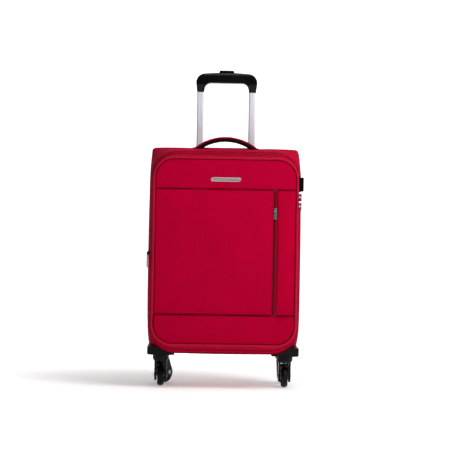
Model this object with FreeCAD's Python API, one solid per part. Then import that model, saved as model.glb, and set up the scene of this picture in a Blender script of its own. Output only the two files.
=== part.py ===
import FreeCAD, Part

# A softside cabin suitcase on four spinner wheels, built piece by piece, in millimetres.
#
# Frame: the front faces -Y, +X is to the right as one looks at the front, and +Z is up. The
# origin is on the floor, in the middle of the case's width and depth. The trolley handle is
# drawn partly out, the lid and the expander closed, the carry handle up.
#
# The sewn body is a tube of fabric that runs from the back panel to the lid. Its outline is a
# rectangle with rounded corners that changes with depth, so every ring of it (wall, piping,
# zip tape, lid wall) is cut from the same table of outlines.

import math
import os

from FreeCAD import Vector

# Sewn body
body_width = 344.0  # back frame, over the fabric
body_height = 475.0  # back frame, underside to top
wall = 4.0  # fabric with the foam behind it
lining = 1.0
sewn_fit = 0.2  # between curved pieces that lie against each other
back_board_thick = 3.0
rear_corner_radius = 7.0
shoulder_corner_radius = 10.0
zip_corner_radius = 62.0
lid_corner_radius = 45.0

# Layers from back to front, each its depth along Y
rear_piping = 5.0
shell_depth = 159.0
zip_pair = 6.0  # both halves of a closed zip
tape_gap = 0.2  # half the gap between the two halves
frame_band_depth = 12.0
lid_depth = 24.0
lid_piping = 5.0
pocket_rise = 7.0  # how far the pocket stands in front of the other panels
slider_rise = 6.6

# How far the outline draws in towards the front, from the back frame's
zip_inset_side, zip_inset_top, zip_inset_bottom = 5.5, 18.0, 9.5
lid_inset_side, lid_inset_top, lid_inset_bottom = 9.0, 27.5, 22.0
expander_inset_top = 11.0
piping_stands_out, piping_flat = 1.5, 3.0  # past the fabric, and the flat that is sewn in

# Lid front
panel_thick = 4.0
lid_board_thick = 3.0
pocket_slope, pocket_fold = 12.0, 3.0  # the raised pocket's sloping edges, and its zip edge
yoke_height = 71.0  # top panel, from the piping down to the seam
lower_band_height = 69.0  # bottom panel, from the piping up to the seam
side_strip_width = 54.0  # panel beside the pocket, zip included
pocket_zip_width = 8.0
seam_gap = 0.3
nameplate_size = (68.0, 9.0, 1.2)
nameplate_drop = 49.0  # nameplate's middle under the panel's top edge

# Trolley
tube_pitch = 122.0
tube_x, tube_y, tube_radius, tube_wall = 16.4, 11.5, 4.0, 1.2
tube_gap = 0.4  # all round, between one stage and the next
grip_rise = 134.0  # the grip's foot above the case's top
grip_depth = 26.0
grip_height = 46.0
grip_shoulder_radius = 9.0
grip_cap_thick = 5.0
# The grip's outer and inner curve: past the tube's middle, and above the tube's end
grip_outer_curve = ((8.5, 0.0), (11.0, 21.0), (5.4, 36.2), (-10.0, 43.4))
grip_inner_curve = ((-8.0, -1.0), (-9.0, 6.0), (-14.0, 17.0), (-25.0, 21.0))
release_bar_rise = 28.0  # above the tubes' ends
spigot_length = 18.0
grip_lip = 0.6  # the grip's foot past the tube
recess_depth = 42.0
recess_gap = 2.0
recess_wall = 2.0
cup_radius = 8.0
bezel_flange, bezel_thick, bezel_edge = 3.0, 2.5, 1.2
trolley_inset = 0.5  # between the cup and the back board
shoulder_margin = 8.0  # flat fabric in front of the bezel
collar_height = 5.0
collar_lip, collar_corner = 1.4, 1.0
bracket_height, socket_depth = 24.0, 14.0
bracket_margin, bracket_floor = 5.0, 8.0
stage_rise = 6.0  # how far the middle stage's foot stands above the outer's
button_size = (35.0, 16.0)
button_proud = 5.0
button_travel = 4.0
button_edge = 2.2  # chamfer
rod_radius, rod_clearance = 1.5, 0.6
bar_height = 4.0
pin_radius = 3.0
pin_travel = 2.0
inner_tube_length = 413.0
pin_up = 12.0  # the lock pins above the inner tubes' foot

# Carry handle
handle_span, handle_rise = 148.0, 28.5
handle_width = 28.0
handle_cover_thick, handle_core_thick = 5.0, 5.0
handle_behind_expander = 87.0

# Casters
caster_height = 73.5  # floor to the corner guard's underside
guard_base = 4.0
guard_reach = 2.0  # how far the guard stands out past the fabric
guard_length, guard_rise = 62.0, 19.0
guard_fillet = 4.0
guard_margin = 1.0  # from the guard to the seams in front of and behind it
wheel_radius, wheel_width = 25.0, 15.0
wheel_hub_radius, wheel_dish, tyre_thick, tread_crown = 8.0, 2.0, 6.5, 3.5
dish_slope, tyre_bead = 1.5, 1.0
wheel_side_gap = 1.7
fork_cheek = 5.0
fork_end_radius = 13.0
fork_head_radius, fork_head_height, fork_head_edge = 18.5, 15.5, 1.5
fork_cone_height = 5.0
cheek_top_half, cone_overlap = 12.0, 2.0
trail = 13.0
axle_radius = 3.0
axle_head_radius, axle_head_thick = 5.0, 1.2
kingpin_radius = 4.0
running_gap = 0.3
shaft_gap = 0.06
far = 1000.0  # longer than anything here, for cutting tools
kingpin_head_radius, kingpin_head_thick = 6.0, 1.8
rear_left_turn = -35.0  # degrees that this caster stands turned
rear_right_turn = -12.0

# Lock and sliders
lock_depth, lock_height, lock_rise, lock_edge = 25.0, 32.0, 5.8, 1.4
lock_drop = 100.0  # the lock's foot under the case's top
lock_side_gap = 2.5  # from the main zip to the lock
lock_root_margin = 1.0  # from the root that passes through the band to the expander's tape
dial_radius, dial_thick, dial_pitch = 2.9, 4.2, 6.2
dial_proud, first_dial = 0.6, 8.0
spindle_radius = 0.8
knob_half_y, knob_half_z, knob_deep, knob_travel = 5.0, 2.2, 2.2, 1.2
spindle_seat = 0.8  # how far the spindle is let into the case past the end dials
knob_above_dials = 7.1
slider_width, slider_length, slider_thick = 10.0, 12.5, 3.2
pocket_slider_width = 7.2
slider_eye, eye_margin = 0.9, 0.7  # the eye's radius, and the metal above it
# Shares of the slider's length, then of its half width, where its outline turns
slider_low, slider_high, slider_waist, slider_neck = 0.2, 0.76, 0.8, 0.55
bail_low, bail_high, bail_slope = 0.2, 0.84, 0.16  # shares of the slider's length
ear_reach, ear_overlap = 0.62, 2.0
bail_half, ear_thick, ear_half = 1.3, 1.5, 1.1
pull_thick, pull_width = 2.4, 8.0
main_pull_length, expander_pull_length, pocket_pull_length = 14.0, 34.0, 19.0
lower_slider_drop, upper_slider_drop = 35.5, 14.5  # the sliders' feet under the lock's foot
expander_slider_up = 223.0  # above the case's underside
pocket_slider_drop = 53.0  # under the yoke's seam

# Runners down the back, between the rear casters
skid_rise = 4.0
skid_width, skid_length, skid_apart = 15.0, 130.0, 230.0
skid_up = 20.0  # the runners' foot above the case's underside

# Inside
strap_width, strap_thick = 25.0, 1.4
lower_strap_up, upper_strap_drop = 118.0, 147.0  # from the case's underside and top
buckle_size, buckle_corner = (42.0, 9.0, 34.0), 2.5
trolley_duct = 35.0  # from the back board to the lining's back wall
fold_depth, fold_thick = 16.0, 2.0  # the expander's cloth, folded away inside
fold_inset = 5.6

# Places that follow from the sizes
overall_depth = (
    rear_piping
    + shell_depth
    + zip_pair
    + frame_band_depth
    + zip_pair
    + lid_depth
    + panel_thick
    + pocket_rise
    + skid_rise
)
y_rear = overall_depth / 2 - skid_rise
y_seam = y_rear - rear_piping
y_expander = y_seam - shell_depth
y_frame = y_expander - zip_pair
y_zip = y_frame - frame_band_depth
y_lid = y_zip - zip_pair
y_face = y_lid - lid_depth
y_panels = y_face - panel_thick
y_board = y_seam - back_board_thick
y_duct = y_board - trolley_duct
z_bottom = caster_height + guard_base
z_top = z_bottom + body_height
half_body = body_width / 2
grip_half_y = grip_depth / 2
recess_half_y = grip_half_y + recess_gap
y_trolley = y_board - trolley_inset - recess_wall - recess_half_y
y_shoulder = y_trolley - recess_half_y - recess_wall - bezel_flange - shoulder_margin
y_handle = y_expander + handle_behind_expander
z_recess = z_top - recess_depth
half_pitch = tube_pitch / 2
grip_end_z = z_top + grip_rise  # where the tubes leave the grip
inner_stage_foot = grip_end_z - inner_tube_length
pin_height = inner_stage_foot + pin_up
skid_foot = z_bottom + skid_up
strap_heights = (z_bottom + lower_strap_up, z_top - upper_strap_drop)
lock_foot = z_top - lock_drop
lower_slider_foot = lock_foot - lower_slider_drop
upper_slider_foot = lock_foot - upper_slider_drop
expander_slider_foot = z_bottom + expander_slider_up
pocket_slider_foot = z_top - lid_inset_top - yoke_height - pocket_slider_drop

# Outlines of the sewn body: depth, half width, underside, top, corner radius
STATIONS = [
    (y_rear, half_body, z_bottom, z_top, rear_corner_radius),
    (y_shoulder, half_body, z_bottom, z_top, shoulder_corner_radius),
    (y_expander, half_body, z_bottom, z_top - expander_inset_top, zip_corner_radius),
    (
        y_zip,
        half_body - zip_inset_side,
        z_bottom + zip_inset_bottom,
        z_top - zip_inset_top,
        zip_corner_radius,
    ),
    (
        y_face,
        half_body - lid_inset_side,
        z_bottom + lid_inset_bottom,
        z_top - lid_inset_top,
        lid_corner_radius,
    ),
]


def outline_at(y):
    """Half width, underside, top and corner radius of the sewn body at depth y."""
    y = min(max(y, STATIONS[-1][0]), STATIONS[0][0])
    for (back, *a), (front, *b) in zip(STATIONS, STATIONS[1:]):
        if front <= y <= back:
            share = (back - y) / (back - front)
            return [p + (q - p) * share for p, q in zip(a, b)]


def outline_wire(y, out):
    """The outline at depth y, moved outwards by out, as a wire of four lines and four arcs."""
    half, low, high, radius = outline_at(y)
    half, low, high, radius = half + out, low - out, high + out, max(radius + out, 1.0)
    middle = radius * (1 - math.sqrt(0.5))
    edges = []
    corners = [(half, low, 1, -1), (half, high, 1, 1), (-half, high, -1, 1), (-half, low, -1, -1)]
    starts, ends = [], []
    for n, (x, z, sx, sz) in enumerate(corners):
        beside = Vector(x - sx * radius, y, z)
        above = Vector(x, y, z - sz * radius)
        first, last = (beside, above) if n % 2 == 0 else (above, beside)
        through = Vector(x - sx * middle, y, z - sz * middle)
        edges.append(Part.Arc(first, through, last).toShape())
        starts.append(first)
        ends.append(last)
    loop = []
    for n, arc in enumerate(edges):
        loop.append(arc)
        loop.append(Part.LineSegment(ends[n], starts[(n + 1) % 4]).toShape())
    return Part.Wire(loop)


def slab(front, back, out=0.0):
    """The solid body between two depths, moved outwards by out."""
    between = [y for y, *_ in STATIONS if front < y < back]
    wires = [outline_wire(y, out) for y in [back, *between, front]]
    return Part.makeLoft(wires, True, True)


def ring(front, back, outer=0.0, inner=-wall):
    """The body's wall between two depths, from outer to inner, both measured outwards."""
    return slab(front, back, outer).cut(slab(front - 1, back + 1, inner))


def box(x0, x1, y0, y1, z0, z1):
    return Part.makeBox(x1 - x0, y1 - y0, z1 - z0, Vector(x0, y0, z0))


def rod(radius, length, base, direction):
    return Part.makeCylinder(radius, length, Vector(*base), Vector(*direction))


def rounded_bar(x, y, size_x, size_y, radius, z0, z1):
    """An upright bar of rounded rectangular section, centred on x, y."""
    bar = box(x - size_x / 2, x + size_x / 2, y - size_y / 2, y + size_y / 2, z0, z1)
    upright = [e for e in bar.Edges if abs(e.Vertexes[0].Z - e.Vertexes[1].Z) > 0.5]
    return bar.makeFillet(radius, upright)


def tube(x, stage, z0, z1):
    """One trolley tube. Stage 0 is the innermost, and each later one goes round the last."""
    grow = 2 * stage * (tube_gap + tube_wall)
    size_x, size_y, radius = tube_x + grow, tube_y + grow, tube_radius + grow / 2
    hollow = rounded_bar(
        x,
        y_trolley,
        size_x - 2 * tube_wall,
        size_y - 2 * tube_wall,
        radius - tube_wall,
        z0 - 1,
        z1 + 1,
    )
    return rounded_bar(x, y_trolley, size_x, size_y, radius, z0, z1).cut(hollow)


def pair(make):
    """The same piece at both trolley tubes."""
    return Part.makeCompound([make(-half_pitch), make(half_pitch)])


def long_edges(shape, axis, least):
    """Straight edges of a shape along X (0), Y (1) or Z (2), longer than least."""
    found = []
    for e in shape.Edges:
        if len(e.Vertexes) != 2:
            continue
        run = e.Vertexes[1].Point - e.Vertexes[0].Point
        across = [abs(v) for n, v in enumerate(run) if n != axis]
        if abs(run[axis]) > least and max(across) < 1e-6:
            found.append(e)
    return found


# ---- Sewn body ----


def make_body():
    cup_x, cup_y = half_recess_x + recess_wall, recess_half_y + recess_wall
    bezel_hole = rounded_bar(
        0, y_trolley, 2 * cup_x, 2 * cup_y, cup_radius, z_top - 3 * wall, far
    )
    wall_tube = ring(y_expander, y_seam).cut(bezel_hole)
    tub = slab(y_expander + zip_pair, y_duct, -wall - sewn_fit).cut(
        slab(y_expander, y_duct - lining, -wall - lining)
    )
    fold_back = y_frame + fold_depth
    return {
        "body_wall": wall_tube,
        "rear_skids": Part.makeCompound([skid(-skid_apart / 2), skid(skid_apart / 2)]),
        "rear_piping": ring(y_seam, y_rear - 1, piping_stands_out, -piping_flat),
        "rear_panel": slab(y_seam, y_rear, -piping_flat - sewn_fit),
        "back_board": slab(y_board, y_seam, -wall - sewn_fit),
        "body_lining": tub,
        "expander_tape": ring(y_expander - zip_pair / 2 + tape_gap, y_expander),
        "expander_fold": ring(y_frame, fold_back, -fold_inset, -fold_inset - fold_thick),
    }


def skid(x):
    """One upright runner on the back panel, its outer edges rounded off."""
    x0, x1 = x - skid_width / 2, x + skid_width / 2
    bar = box(x0, x1, y_rear, y_rear + skid_rise, skid_foot, skid_foot + skid_length)
    outer = [e for e in bar.Edges if e.BoundBox.YMin > y_rear + skid_rise - 0.01]
    return bar.makeFillet(skid_rise / 2, outer)


def make_frame_band():
    lock_slot = box(
        outline_at(y_zip)[0] - wall,
        far,
        y_zip + lock_side_gap,
        y_frame - lock_root_margin,
        lock_foot,
        lock_foot + lock_height,
    )
    return {
        "frame_band": ring(y_zip, y_frame).cut(lock_slot),
        "frame_tapes": Part.makeCompound(
            [
                ring(y_frame, y_expander - zip_pair / 2 - tape_gap),
                ring(y_zip - zip_pair / 2 + tape_gap, y_zip),
            ]
        ),
    }


# ---- Lid ----


def make_lid():
    half, low, high, _ = outline_at(y_face)
    inside = slab(y_panels, y_face, -piping_flat - sewn_fit)
    right = half - side_strip_width
    seam_top, seam_bottom = high - yoke_height, low + lower_band_height

    def panel(x0, x1, z0, z1):
        return inside.common(box(x0, x1, y_panels, y_face, z0, z1))

    pocket_flat = panel(-far, right, seam_bottom + seam_gap, seam_top - seam_gap)
    left = pocket_flat.BoundBox.XMin
    pocket_front = Part.makeLoft(
        [
            rectangle(left + 1, right - 1, seam_bottom + 1, seam_top - 1, y_panels),
            rectangle(
                left + pocket_slope,
                right - pocket_fold,
                seam_bottom + pocket_slope,
                seam_top - pocket_slope,
                y_panels - pocket_rise,
            ),
        ],
        True,
        True,
    )
    tape_right = right + pocket_zip_width
    edge_tape = ring(y_lid, y_lid + zip_pair / 2 - tape_gap)
    pocket_tape = box(
        right + seam_gap,
        tape_right,
        y_face - panel_thick / 2,
        y_face,
        seam_bottom + seam_gap,
        seam_top - seam_gap,
    )
    plate_x, plate_z, plate_y = nameplate_size
    plate_middle = high - nameplate_drop
    plate = rounded_plate(0.0, plate_middle, plate_x, plate_z, y_panels - plate_y, y_panels)
    return {
        "lid_wall": ring(y_face, y_lid),
        "lid_piping": ring(y_face - lid_piping, y_face, piping_stands_out, -piping_flat),
        "lid_board": slab(y_face, y_face + lid_board_thick, -wall - sewn_fit),
        "yoke_panel": panel(-far, far, seam_top + seam_gap, far),
        "lower_panel": panel(-far, far, 0, seam_bottom - seam_gap),
        "strip_panel": panel(
            tape_right + seam_gap, far, seam_bottom + seam_gap, seam_top - seam_gap
        ),
        "pocket_panel": pocket_flat.fuse(pocket_front).removeSplitter(),
        "lid_tapes": Part.makeCompound([edge_tape, pocket_tape]),
        "nameplate": plate,
    }


def rectangle(x0, x1, z0, z1, y):
    return Part.makePolygon(
        [Vector(x, y, z) for x, z in ((x0, z0), (x1, z0), (x1, z1), (x0, z1), (x0, z0))]
    )


def rounded_plate(x, z, size_x, size_z, y0, y1):
    """A thin plate in the XZ plane whose ends are half circles."""
    radius = size_z / 2
    middle = box(x - size_x / 2 + radius, x + size_x / 2 - radius, y0, y1, z - radius, z + radius)
    ends = [
        rod(radius, y1 - y0, (x + side * (size_x / 2 - radius), y0, z), (0, 1, 0))
        for side in (-1, 1)
    ]
    return middle.fuse(ends).removeSplitter()


# ---- Trolley ----

half_recess_x = half_pitch + grip_outer_curve[1][0] + recess_gap
outer_size_x = tube_x + 4 * (tube_gap + tube_wall)
outer_size_y = tube_y + 4 * (tube_gap + tube_wall)
z_collar = z_recess + running_gap


def grip_outline(shift=0.0):
    """The grip's arch, filled down to the tubes' ends, as a face in the plane Y = 0."""
    p = [Vector(half_pitch + x, 0, grip_end_z + z + shift) for x, z in grip_outer_curve]
    p.append(Vector(0, 0, grip_end_z + grip_height + shift))
    m = [Vector(-v.x, 0, v.z) for v in p]
    edges = [
        Part.LineSegment(p[0], p[1]).toShape(),
        Part.Arc(p[1], p[2], p[3]).toShape(),
        Part.Arc(p[3], p[4], m[3]).toShape(),
        Part.Arc(m[3], m[2], m[1]).toShape(),
        Part.LineSegment(m[1], m[0]).toShape(),
        Part.LineSegment(m[0], p[0]).toShape(),
    ]
    return Part.Face(Part.Wire(edges))


def grip_hole():
    """The hand hole under the grip, as a face in the plane Y = 0."""
    p = [Vector(half_pitch + x, 0, grip_end_z + z) for x, z in grip_inner_curve]
    m = [Vector(-v.x, 0, v.z) for v in p]
    edges = [
        Part.LineSegment(p[0], p[1]).toShape(),
        Part.Arc(p[1], p[2], p[3]).toShape(),
        Part.LineSegment(p[3], m[3]).toShape(),
        Part.Arc(m[3], m[2], m[1]).toShape(),
        Part.LineSegment(m[1], m[0]).toShape(),
        Part.LineSegment(m[0], p[0]).toShape(),
    ]
    return Part.Face(Part.Wire(edges))


def upright_block(face, depth):
    """A face in the plane Y = 0 made into a block that is centred on the trolley."""
    block = face.extrude(Vector(0, depth, 0))
    block.translate(Vector(0, y_trolley - depth / 2, 0))
    return block


def grip_side():
    """The grip seen from its end: narrow at the tubes, full depth from the palm up."""
    narrow, full, shoulder = tube_y / 2 + grip_lip, grip_half_y, grip_shoulder_radius
    top = grip_end_z + grip_height
    turn = shoulder * (1 - math.sqrt(0.5))
    right = [
        Vector(0, narrow, grip_end_z),
        Vector(0, full, grip_end_z + grip_inner_curve[2][1]),
        Vector(0, full, top - shoulder),
        Vector(0, full - turn, top - turn),
        Vector(0, full - shoulder, top),
    ]
    left = [Vector(0, -v.y, v.z) for v in right]
    edges = [
        Part.LineSegment(left[0], right[0]).toShape(),
        Part.LineSegment(right[0], right[1]).toShape(),
        Part.LineSegment(right[1], right[2]).toShape(),
        Part.Arc(right[2], right[3], right[4]).toShape(),
        Part.LineSegment(right[4], left[4]).toShape(),
        Part.Arc(left[4], left[3], left[2]).toShape(),
        Part.LineSegment(left[2], left[1]).toShape(),
        Part.LineSegment(left[1], left[0]).toShape(),
    ]
    width = 2 * half_recess_x
    block = Part.Face(Part.Wire(edges)).extrude(Vector(width, 0, 0))
    block.translate(Vector(-width / 2, y_trolley, 0))
    return block


def make_grip():
    arch = grip_outline().cut(grip_hole())
    whole = upright_block(arch, grip_depth).common(grip_side())
    under_cap = upright_block(grip_outline(-grip_cap_thick), 2 * grip_depth)
    cap_end = half_pitch - tube_radius
    cap_reach = box(-cap_end, cap_end, -far, far, 0, far)
    cap_block = whole.cut(under_cap).common(cap_reach)
    z_bar = grip_end_z + release_bar_rise
    bar_half_x, bar_half_y = half_pitch + rod_radius, 2 * rod_radius
    channel = box(
        -bar_half_x - rod_clearance,
        bar_half_x + rod_clearance,
        y_trolley - bar_half_y - rod_clearance,
        y_trolley + bar_half_y + rod_clearance,
        z_bar - button_travel - running_gap,
        z_bar + bar_height + running_gap,
    )
    size_x, size_y = button_size
    well = box(
        -size_x / 2 - running_gap,
        size_x / 2 + running_gap,
        y_trolley - size_y / 2 - running_gap,
        y_trolley + size_y / 2 + running_gap,
        z_bar,
        far,
    )
    spigot_x, spigot_y = tube_x - 2 * tube_wall, tube_y - 2 * tube_wall
    foot, corner = grip_end_z - spigot_length, tube_radius - tube_wall
    spigots = [
        rounded_bar(x, y_trolley, spigot_x, spigot_y, corner, foot, grip_end_z + 1)
        for x in (-half_pitch, half_pitch)
    ]
    shafts = [
        rod(rod_radius + rod_clearance, z_bar - foot + 2, (x, y_trolley, foot - 1), (0, 0, 1))
        for x in (-half_pitch, half_pitch)
    ]
    body = whole.cut(cap_block).fuse(spigots).cut([channel, well, *shafts])
    z_button = grip_end_z + grip_height + button_proud
    button = box(
        -size_x / 2,
        size_x / 2,
        y_trolley - size_y / 2,
        y_trolley + size_y / 2,
        z_bar + bar_height,
        z_button,
    )
    top_edges = [e for e in long_edges(button, 1, 1) if e.BoundBox.ZMin > z_button - 0.1]
    button = button.makeChamfer(button_edge, top_edges)
    cross_bar = box(
        -bar_half_x,
        bar_half_x,
        y_trolley - bar_half_y,
        y_trolley + bar_half_y,
        z_bar,
        z_bar + bar_height,
    )
    rod_foot = pin_height - pin_radius - rod_radius
    rods = [
        rod(rod_radius, z_bar - rod_foot, (x, y_trolley, rod_foot), (0, 0, 1))
        for x in (-half_pitch, half_pitch)
    ]
    return {
        "grip_body": body.removeSplitter(),
        "grip_cap": cap_block.cut(well).removeSplitter(),
        "grip_button": button,
        "release_rods": cross_bar.fuse(rods).removeSplitter(),
    }


def make_tubes():
    bracket_foot = z_bottom + wall
    outer_foot = bracket_foot + bracket_height - socket_depth
    outer_top = z_recess - recess_wall
    middle_foot = outer_foot + stage_rise

    def inner_tube(x):
        hole = rod(pin_radius + running_gap, tube_y, (x, y_trolley, pin_height), (0, 1, 0))
        return tube(x, 0, inner_stage_foot, grip_end_z).cut(hole)

    def lock_pin(x):
        # a plunger whose forked end straddles the release rod
        tip = tube_y / 2 - running_gap
        tail = tube_y / 2 - tube_wall - running_gap - pin_travel
        pin = rod(pin_radius, tip + tail, (x, y_trolley - tail, pin_height), (0, 1, 0))
        side = rod_radius + running_gap
        slot = box(
            x - side,
            x + side,
            y_trolley - tube_y,
            y_trolley + side + pin_travel,
            pin_height - 2 * pin_radius,
            pin_height + 2 * pin_radius,
        )
        return pin.cut(slot)

    def collar(x):
        middle = tube_x + 2 * (tube_gap + tube_wall)
        middle_y = tube_y + 2 * (tube_gap + tube_wall)
        block = rounded_bar(
            x,
            y_trolley,
            middle + 2 * collar_lip,
            middle_y + 2 * collar_lip,
            tube_radius + collar_corner,
            z_collar,
            z_collar + collar_height,
        )
        hole = rounded_bar(
            x,
            y_trolley,
            tube_x + 2 * running_gap,
            tube_y + 2 * running_gap,
            tube_radius,
            z_collar - 1,
            z_collar + collar_height + 1,
        )
        return block.cut(hole)

    bracket = box(
        -half_pitch - outer_size_x / 2 - bracket_margin,
        half_pitch + outer_size_x / 2 + bracket_margin,
        y_trolley - outer_size_y / 2 - bracket_margin,
        y_board,
        bracket_foot,
        bracket_foot + bracket_height,
    )
    sockets = [
        rounded_bar(
            x,
            y_trolley,
            outer_size_x,
            outer_size_y,
            tube_radius + 2 * (tube_gap + tube_wall),
            outer_foot,
            pin_height,
        )
        for x in (-half_pitch, half_pitch)
    ]
    middle_web = box(
        -half_pitch + outer_size_x / 2 + bracket_margin,
        half_pitch - outer_size_x / 2 - bracket_margin,
        y_duct,
        y_board - bracket_margin,
        bracket_foot + bracket_floor,
        far,
    )
    return {
        "outer_tubes": pair(lambda x: tube(x, 2, outer_foot, outer_top)),
        "middle_tubes": pair(lambda x: tube(x, 1, middle_foot, z_collar)),
        "inner_tubes": pair(inner_tube),
        "lock_pins": pair(lock_pin),
        "tube_collars": pair(collar),
        "tube_bracket": bracket.cut([*sockets, middle_web]),
    }


def make_bezel():
    outer_x, outer_y = half_recess_x + recess_wall, recess_half_y + recess_wall
    cup = rounded_bar(
        0,
        y_trolley,
        2 * outer_x,
        2 * outer_y,
        cup_radius,
        z_recess - recess_wall,
        z_top + bezel_thick,
    )
    flange = rounded_bar(
        0,
        y_trolley,
        2 * (outer_x + bezel_flange),
        2 * (outer_y + bezel_flange),
        cup_radius + bezel_flange,
        z_top,
        z_top + bezel_thick,
    )
    hollow = rounded_bar(
        0, y_trolley, 2 * half_recess_x, 2 * recess_half_y, cup_radius - recess_wall, z_recess, far
    )
    middle_x = tube_x + 2 * (tube_gap + tube_wall)
    middle_y = tube_y + 2 * (tube_gap + tube_wall)
    holes = [
        rounded_bar(
            x,
            y_trolley,
            middle_x + 2 * running_gap,
            middle_y + 2 * running_gap,
            tube_radius + tube_wall + tube_gap,
            z_recess - 2 * recess_wall,
            z_recess + 1,
        )
        for x in (-half_pitch, half_pitch)
    ]
    rim = flange.fuse(cup).removeSplitter()
    top = [e for e in rim.Edges if e.BoundBox.ZMin > z_top + bezel_thick - 0.01]
    rim = rim.makeFillet(bezel_edge, top)
    return {"trolley_bezel": rim.cut([hollow, *holes])}


# ---- Carry handle ----


def make_handle():
    half, rise = handle_span / 2, handle_rise
    radius = (half * half + rise * rise) / (2 * rise)
    surface = outline_at(y_handle)[2]
    centre = surface + rise - radius
    y0 = y_handle - handle_width / 2
    body = slab(y_face, y_rear)
    keep = box(-half_body, half_body, y_face, y_rear, surface - handle_rise, far)

    def layer(outer, inner):
        disc = rod(outer, handle_width, (0, y0, centre), (0, 1, 0))
        hole = rod(inner, far, (0, y0 - far / 2, centre), (0, 1, 0))
        return disc.cut(hole).common(keep).cut(body)

    mid = radius - handle_cover_thick
    return {
        "handle_cover": layer(radius, mid),
        "handle_core": layer(mid, mid - handle_core_thick),
    }


# ---- Casters ----

caster_x = half_body + guard_reach - guard_length / 2
caster_front_y = y_expander + guard_margin + guard_length / 2
caster_rear_y = y_seam - guard_margin - guard_length / 2
CASTERS = {
    "front_left": (-caster_x, caster_front_y, 0.0),
    "front_right": (caster_x, caster_front_y, 0.0),
    "rear_left": (-caster_x, caster_rear_y, rear_left_turn),
    "rear_right": (caster_x, caster_rear_y, rear_right_turn),
}


def make_guard(x, y):
    """A moulded corner that fills in the body's rounded corner and holds one caster."""
    side = 1 if x > 0 else -1
    outer = side * (half_body + guard_reach)
    inner = outer - side * guard_length
    x0, x1 = sorted((outer, inner))
    y0, y1 = y - guard_length / 2, y + guard_length / 2
    block = box(x0, x1, y0, y1, caster_height, caster_height + guard_rise)
    outside = [e for e in long_edges(block, 1, 10) if abs(e.Vertexes[0].X - outer) < 0.01]
    low = [e for e in outside if e.Vertexes[0].Z < caster_height + 0.1]
    block = block.makeFillet(guard_fillet, low)
    hole = rod(kingpin_radius, far, (x, y, 0), (0, 0, 1))
    return block.cut([slab(y_face, y_rear, sewn_fit), hole])


def kingpin_shelf():
    """Height of the step in the fork that the kingpin's head holds up."""
    return caster_height - running_gap - fork_head_height + kingpin_head_thick + running_gap


def make_caster(x, y, turn):
    head_top = caster_height - running_gap
    head_foot = head_top - fork_head_height
    cheek_in = wheel_width / 2 + wheel_side_gap
    cheek_out = cheek_in + fork_cheek
    cone_top = head_foot + fork_cone_height
    head = rod(fork_head_radius, head_top - cone_top, (0, 0, cone_top), (0, 0, 1))
    cone = Part.makeCone(
        cheek_out, fork_head_radius, fork_cone_height, Vector(0, 0, head_foot), Vector(0, 0, 1)
    )
    rim = [e for e in head.Edges if e.BoundBox.ZMin > head_top - 0.1 and len(e.Vertexes) == 1]
    head = head.makeFillet(fork_head_edge, rim)

    def cheek(side):
        x0, x1 = sorted((side * cheek_in, side * cheek_out))
        top = head_foot + cone_overlap
        shank = Part.Face(
            Part.makePolygon(
                [
                    Vector(x0, -cheek_top_half, top),
                    Vector(x0, trail - fork_end_radius, wheel_radius),
                    Vector(x0, trail + fork_end_radius, wheel_radius),
                    Vector(x0, cheek_top_half, top),
                    Vector(x0, -cheek_top_half, top),
                ]
            )
        ).extrude(Vector(x1 - x0, 0, 0))
        end = rod(fork_end_radius, fork_cheek, (x0, trail, wheel_radius), (1, 0, 0))
        return shank.fuse(end)

    fork = head.fuse([cone, cheek(-1), cheek(1)]).removeSplitter()
    pin_hole = rod(kingpin_radius + shaft_gap, caster_height, (0, 0, 0), (0, 0, 1))
    sink = rod(kingpin_head_radius + running_gap, kingpin_shelf(), (0, 0, 0), (0, 0, 1))
    axle_hole = rod(axle_radius, 2 * cheek_out, (-cheek_out, trail, wheel_radius), (1, 0, 0))
    fork = fork.cut([pin_hole, sink, axle_hole])
    shaft = rod(axle_radius, 2 * cheek_out, (-cheek_out, trail, wheel_radius), (1, 0, 0))
    heads = [
        rod(axle_head_radius, axle_head_thick, (at, trail, wheel_radius), (1, 0, 0))
        for at in (-cheek_out - axle_head_thick, cheek_out)
    ]
    wheel = make_wheel()
    pieces = [fork, wheel, shaft.fuse(heads).removeSplitter()]
    for piece in pieces:
        piece.rotate(Vector(0, 0, 0), Vector(0, 0, 1), turn)
        piece.translate(Vector(x, y, 0))
    return pieces


def make_wheel():
    """A wheel about an axle along X at the trail: rounded tread, dished sides, bored hub."""
    half = wheel_width / 2
    bore = axle_radius + shaft_gap
    rim = wheel_radius - tyre_thick
    profile = [
        (-half, bore),
        (-half, wheel_hub_radius),
        (-half + wheel_dish, wheel_hub_radius + dish_slope),
        (-half + wheel_dish, rim - tyre_bead),
        (-half, rim),
        (-half, wheel_radius - tread_crown),
    ]
    left = [Vector(x, r, 0) for x, r in profile]
    right = [Vector(-v.x, v.y, 0) for v in left]
    crown = Vector(0, wheel_radius, 0)
    edges = [Part.LineSegment(a, b).toShape() for a, b in zip(left, left[1:])]
    edges.append(Part.Arc(left[-1], crown, right[-1]).toShape())
    edges += [Part.LineSegment(a, b).toShape() for a, b in zip(right[::-1], right[-2::-1])]
    edges.append(Part.LineSegment(right[0], left[0]).toShape())
    wheel = Part.Face(Part.Wire(edges)).revolve(Vector(0, 0, 0), Vector(1, 0, 0), 360)
    wheel.translate(Vector(0, trail, wheel_radius))
    return wheel


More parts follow.
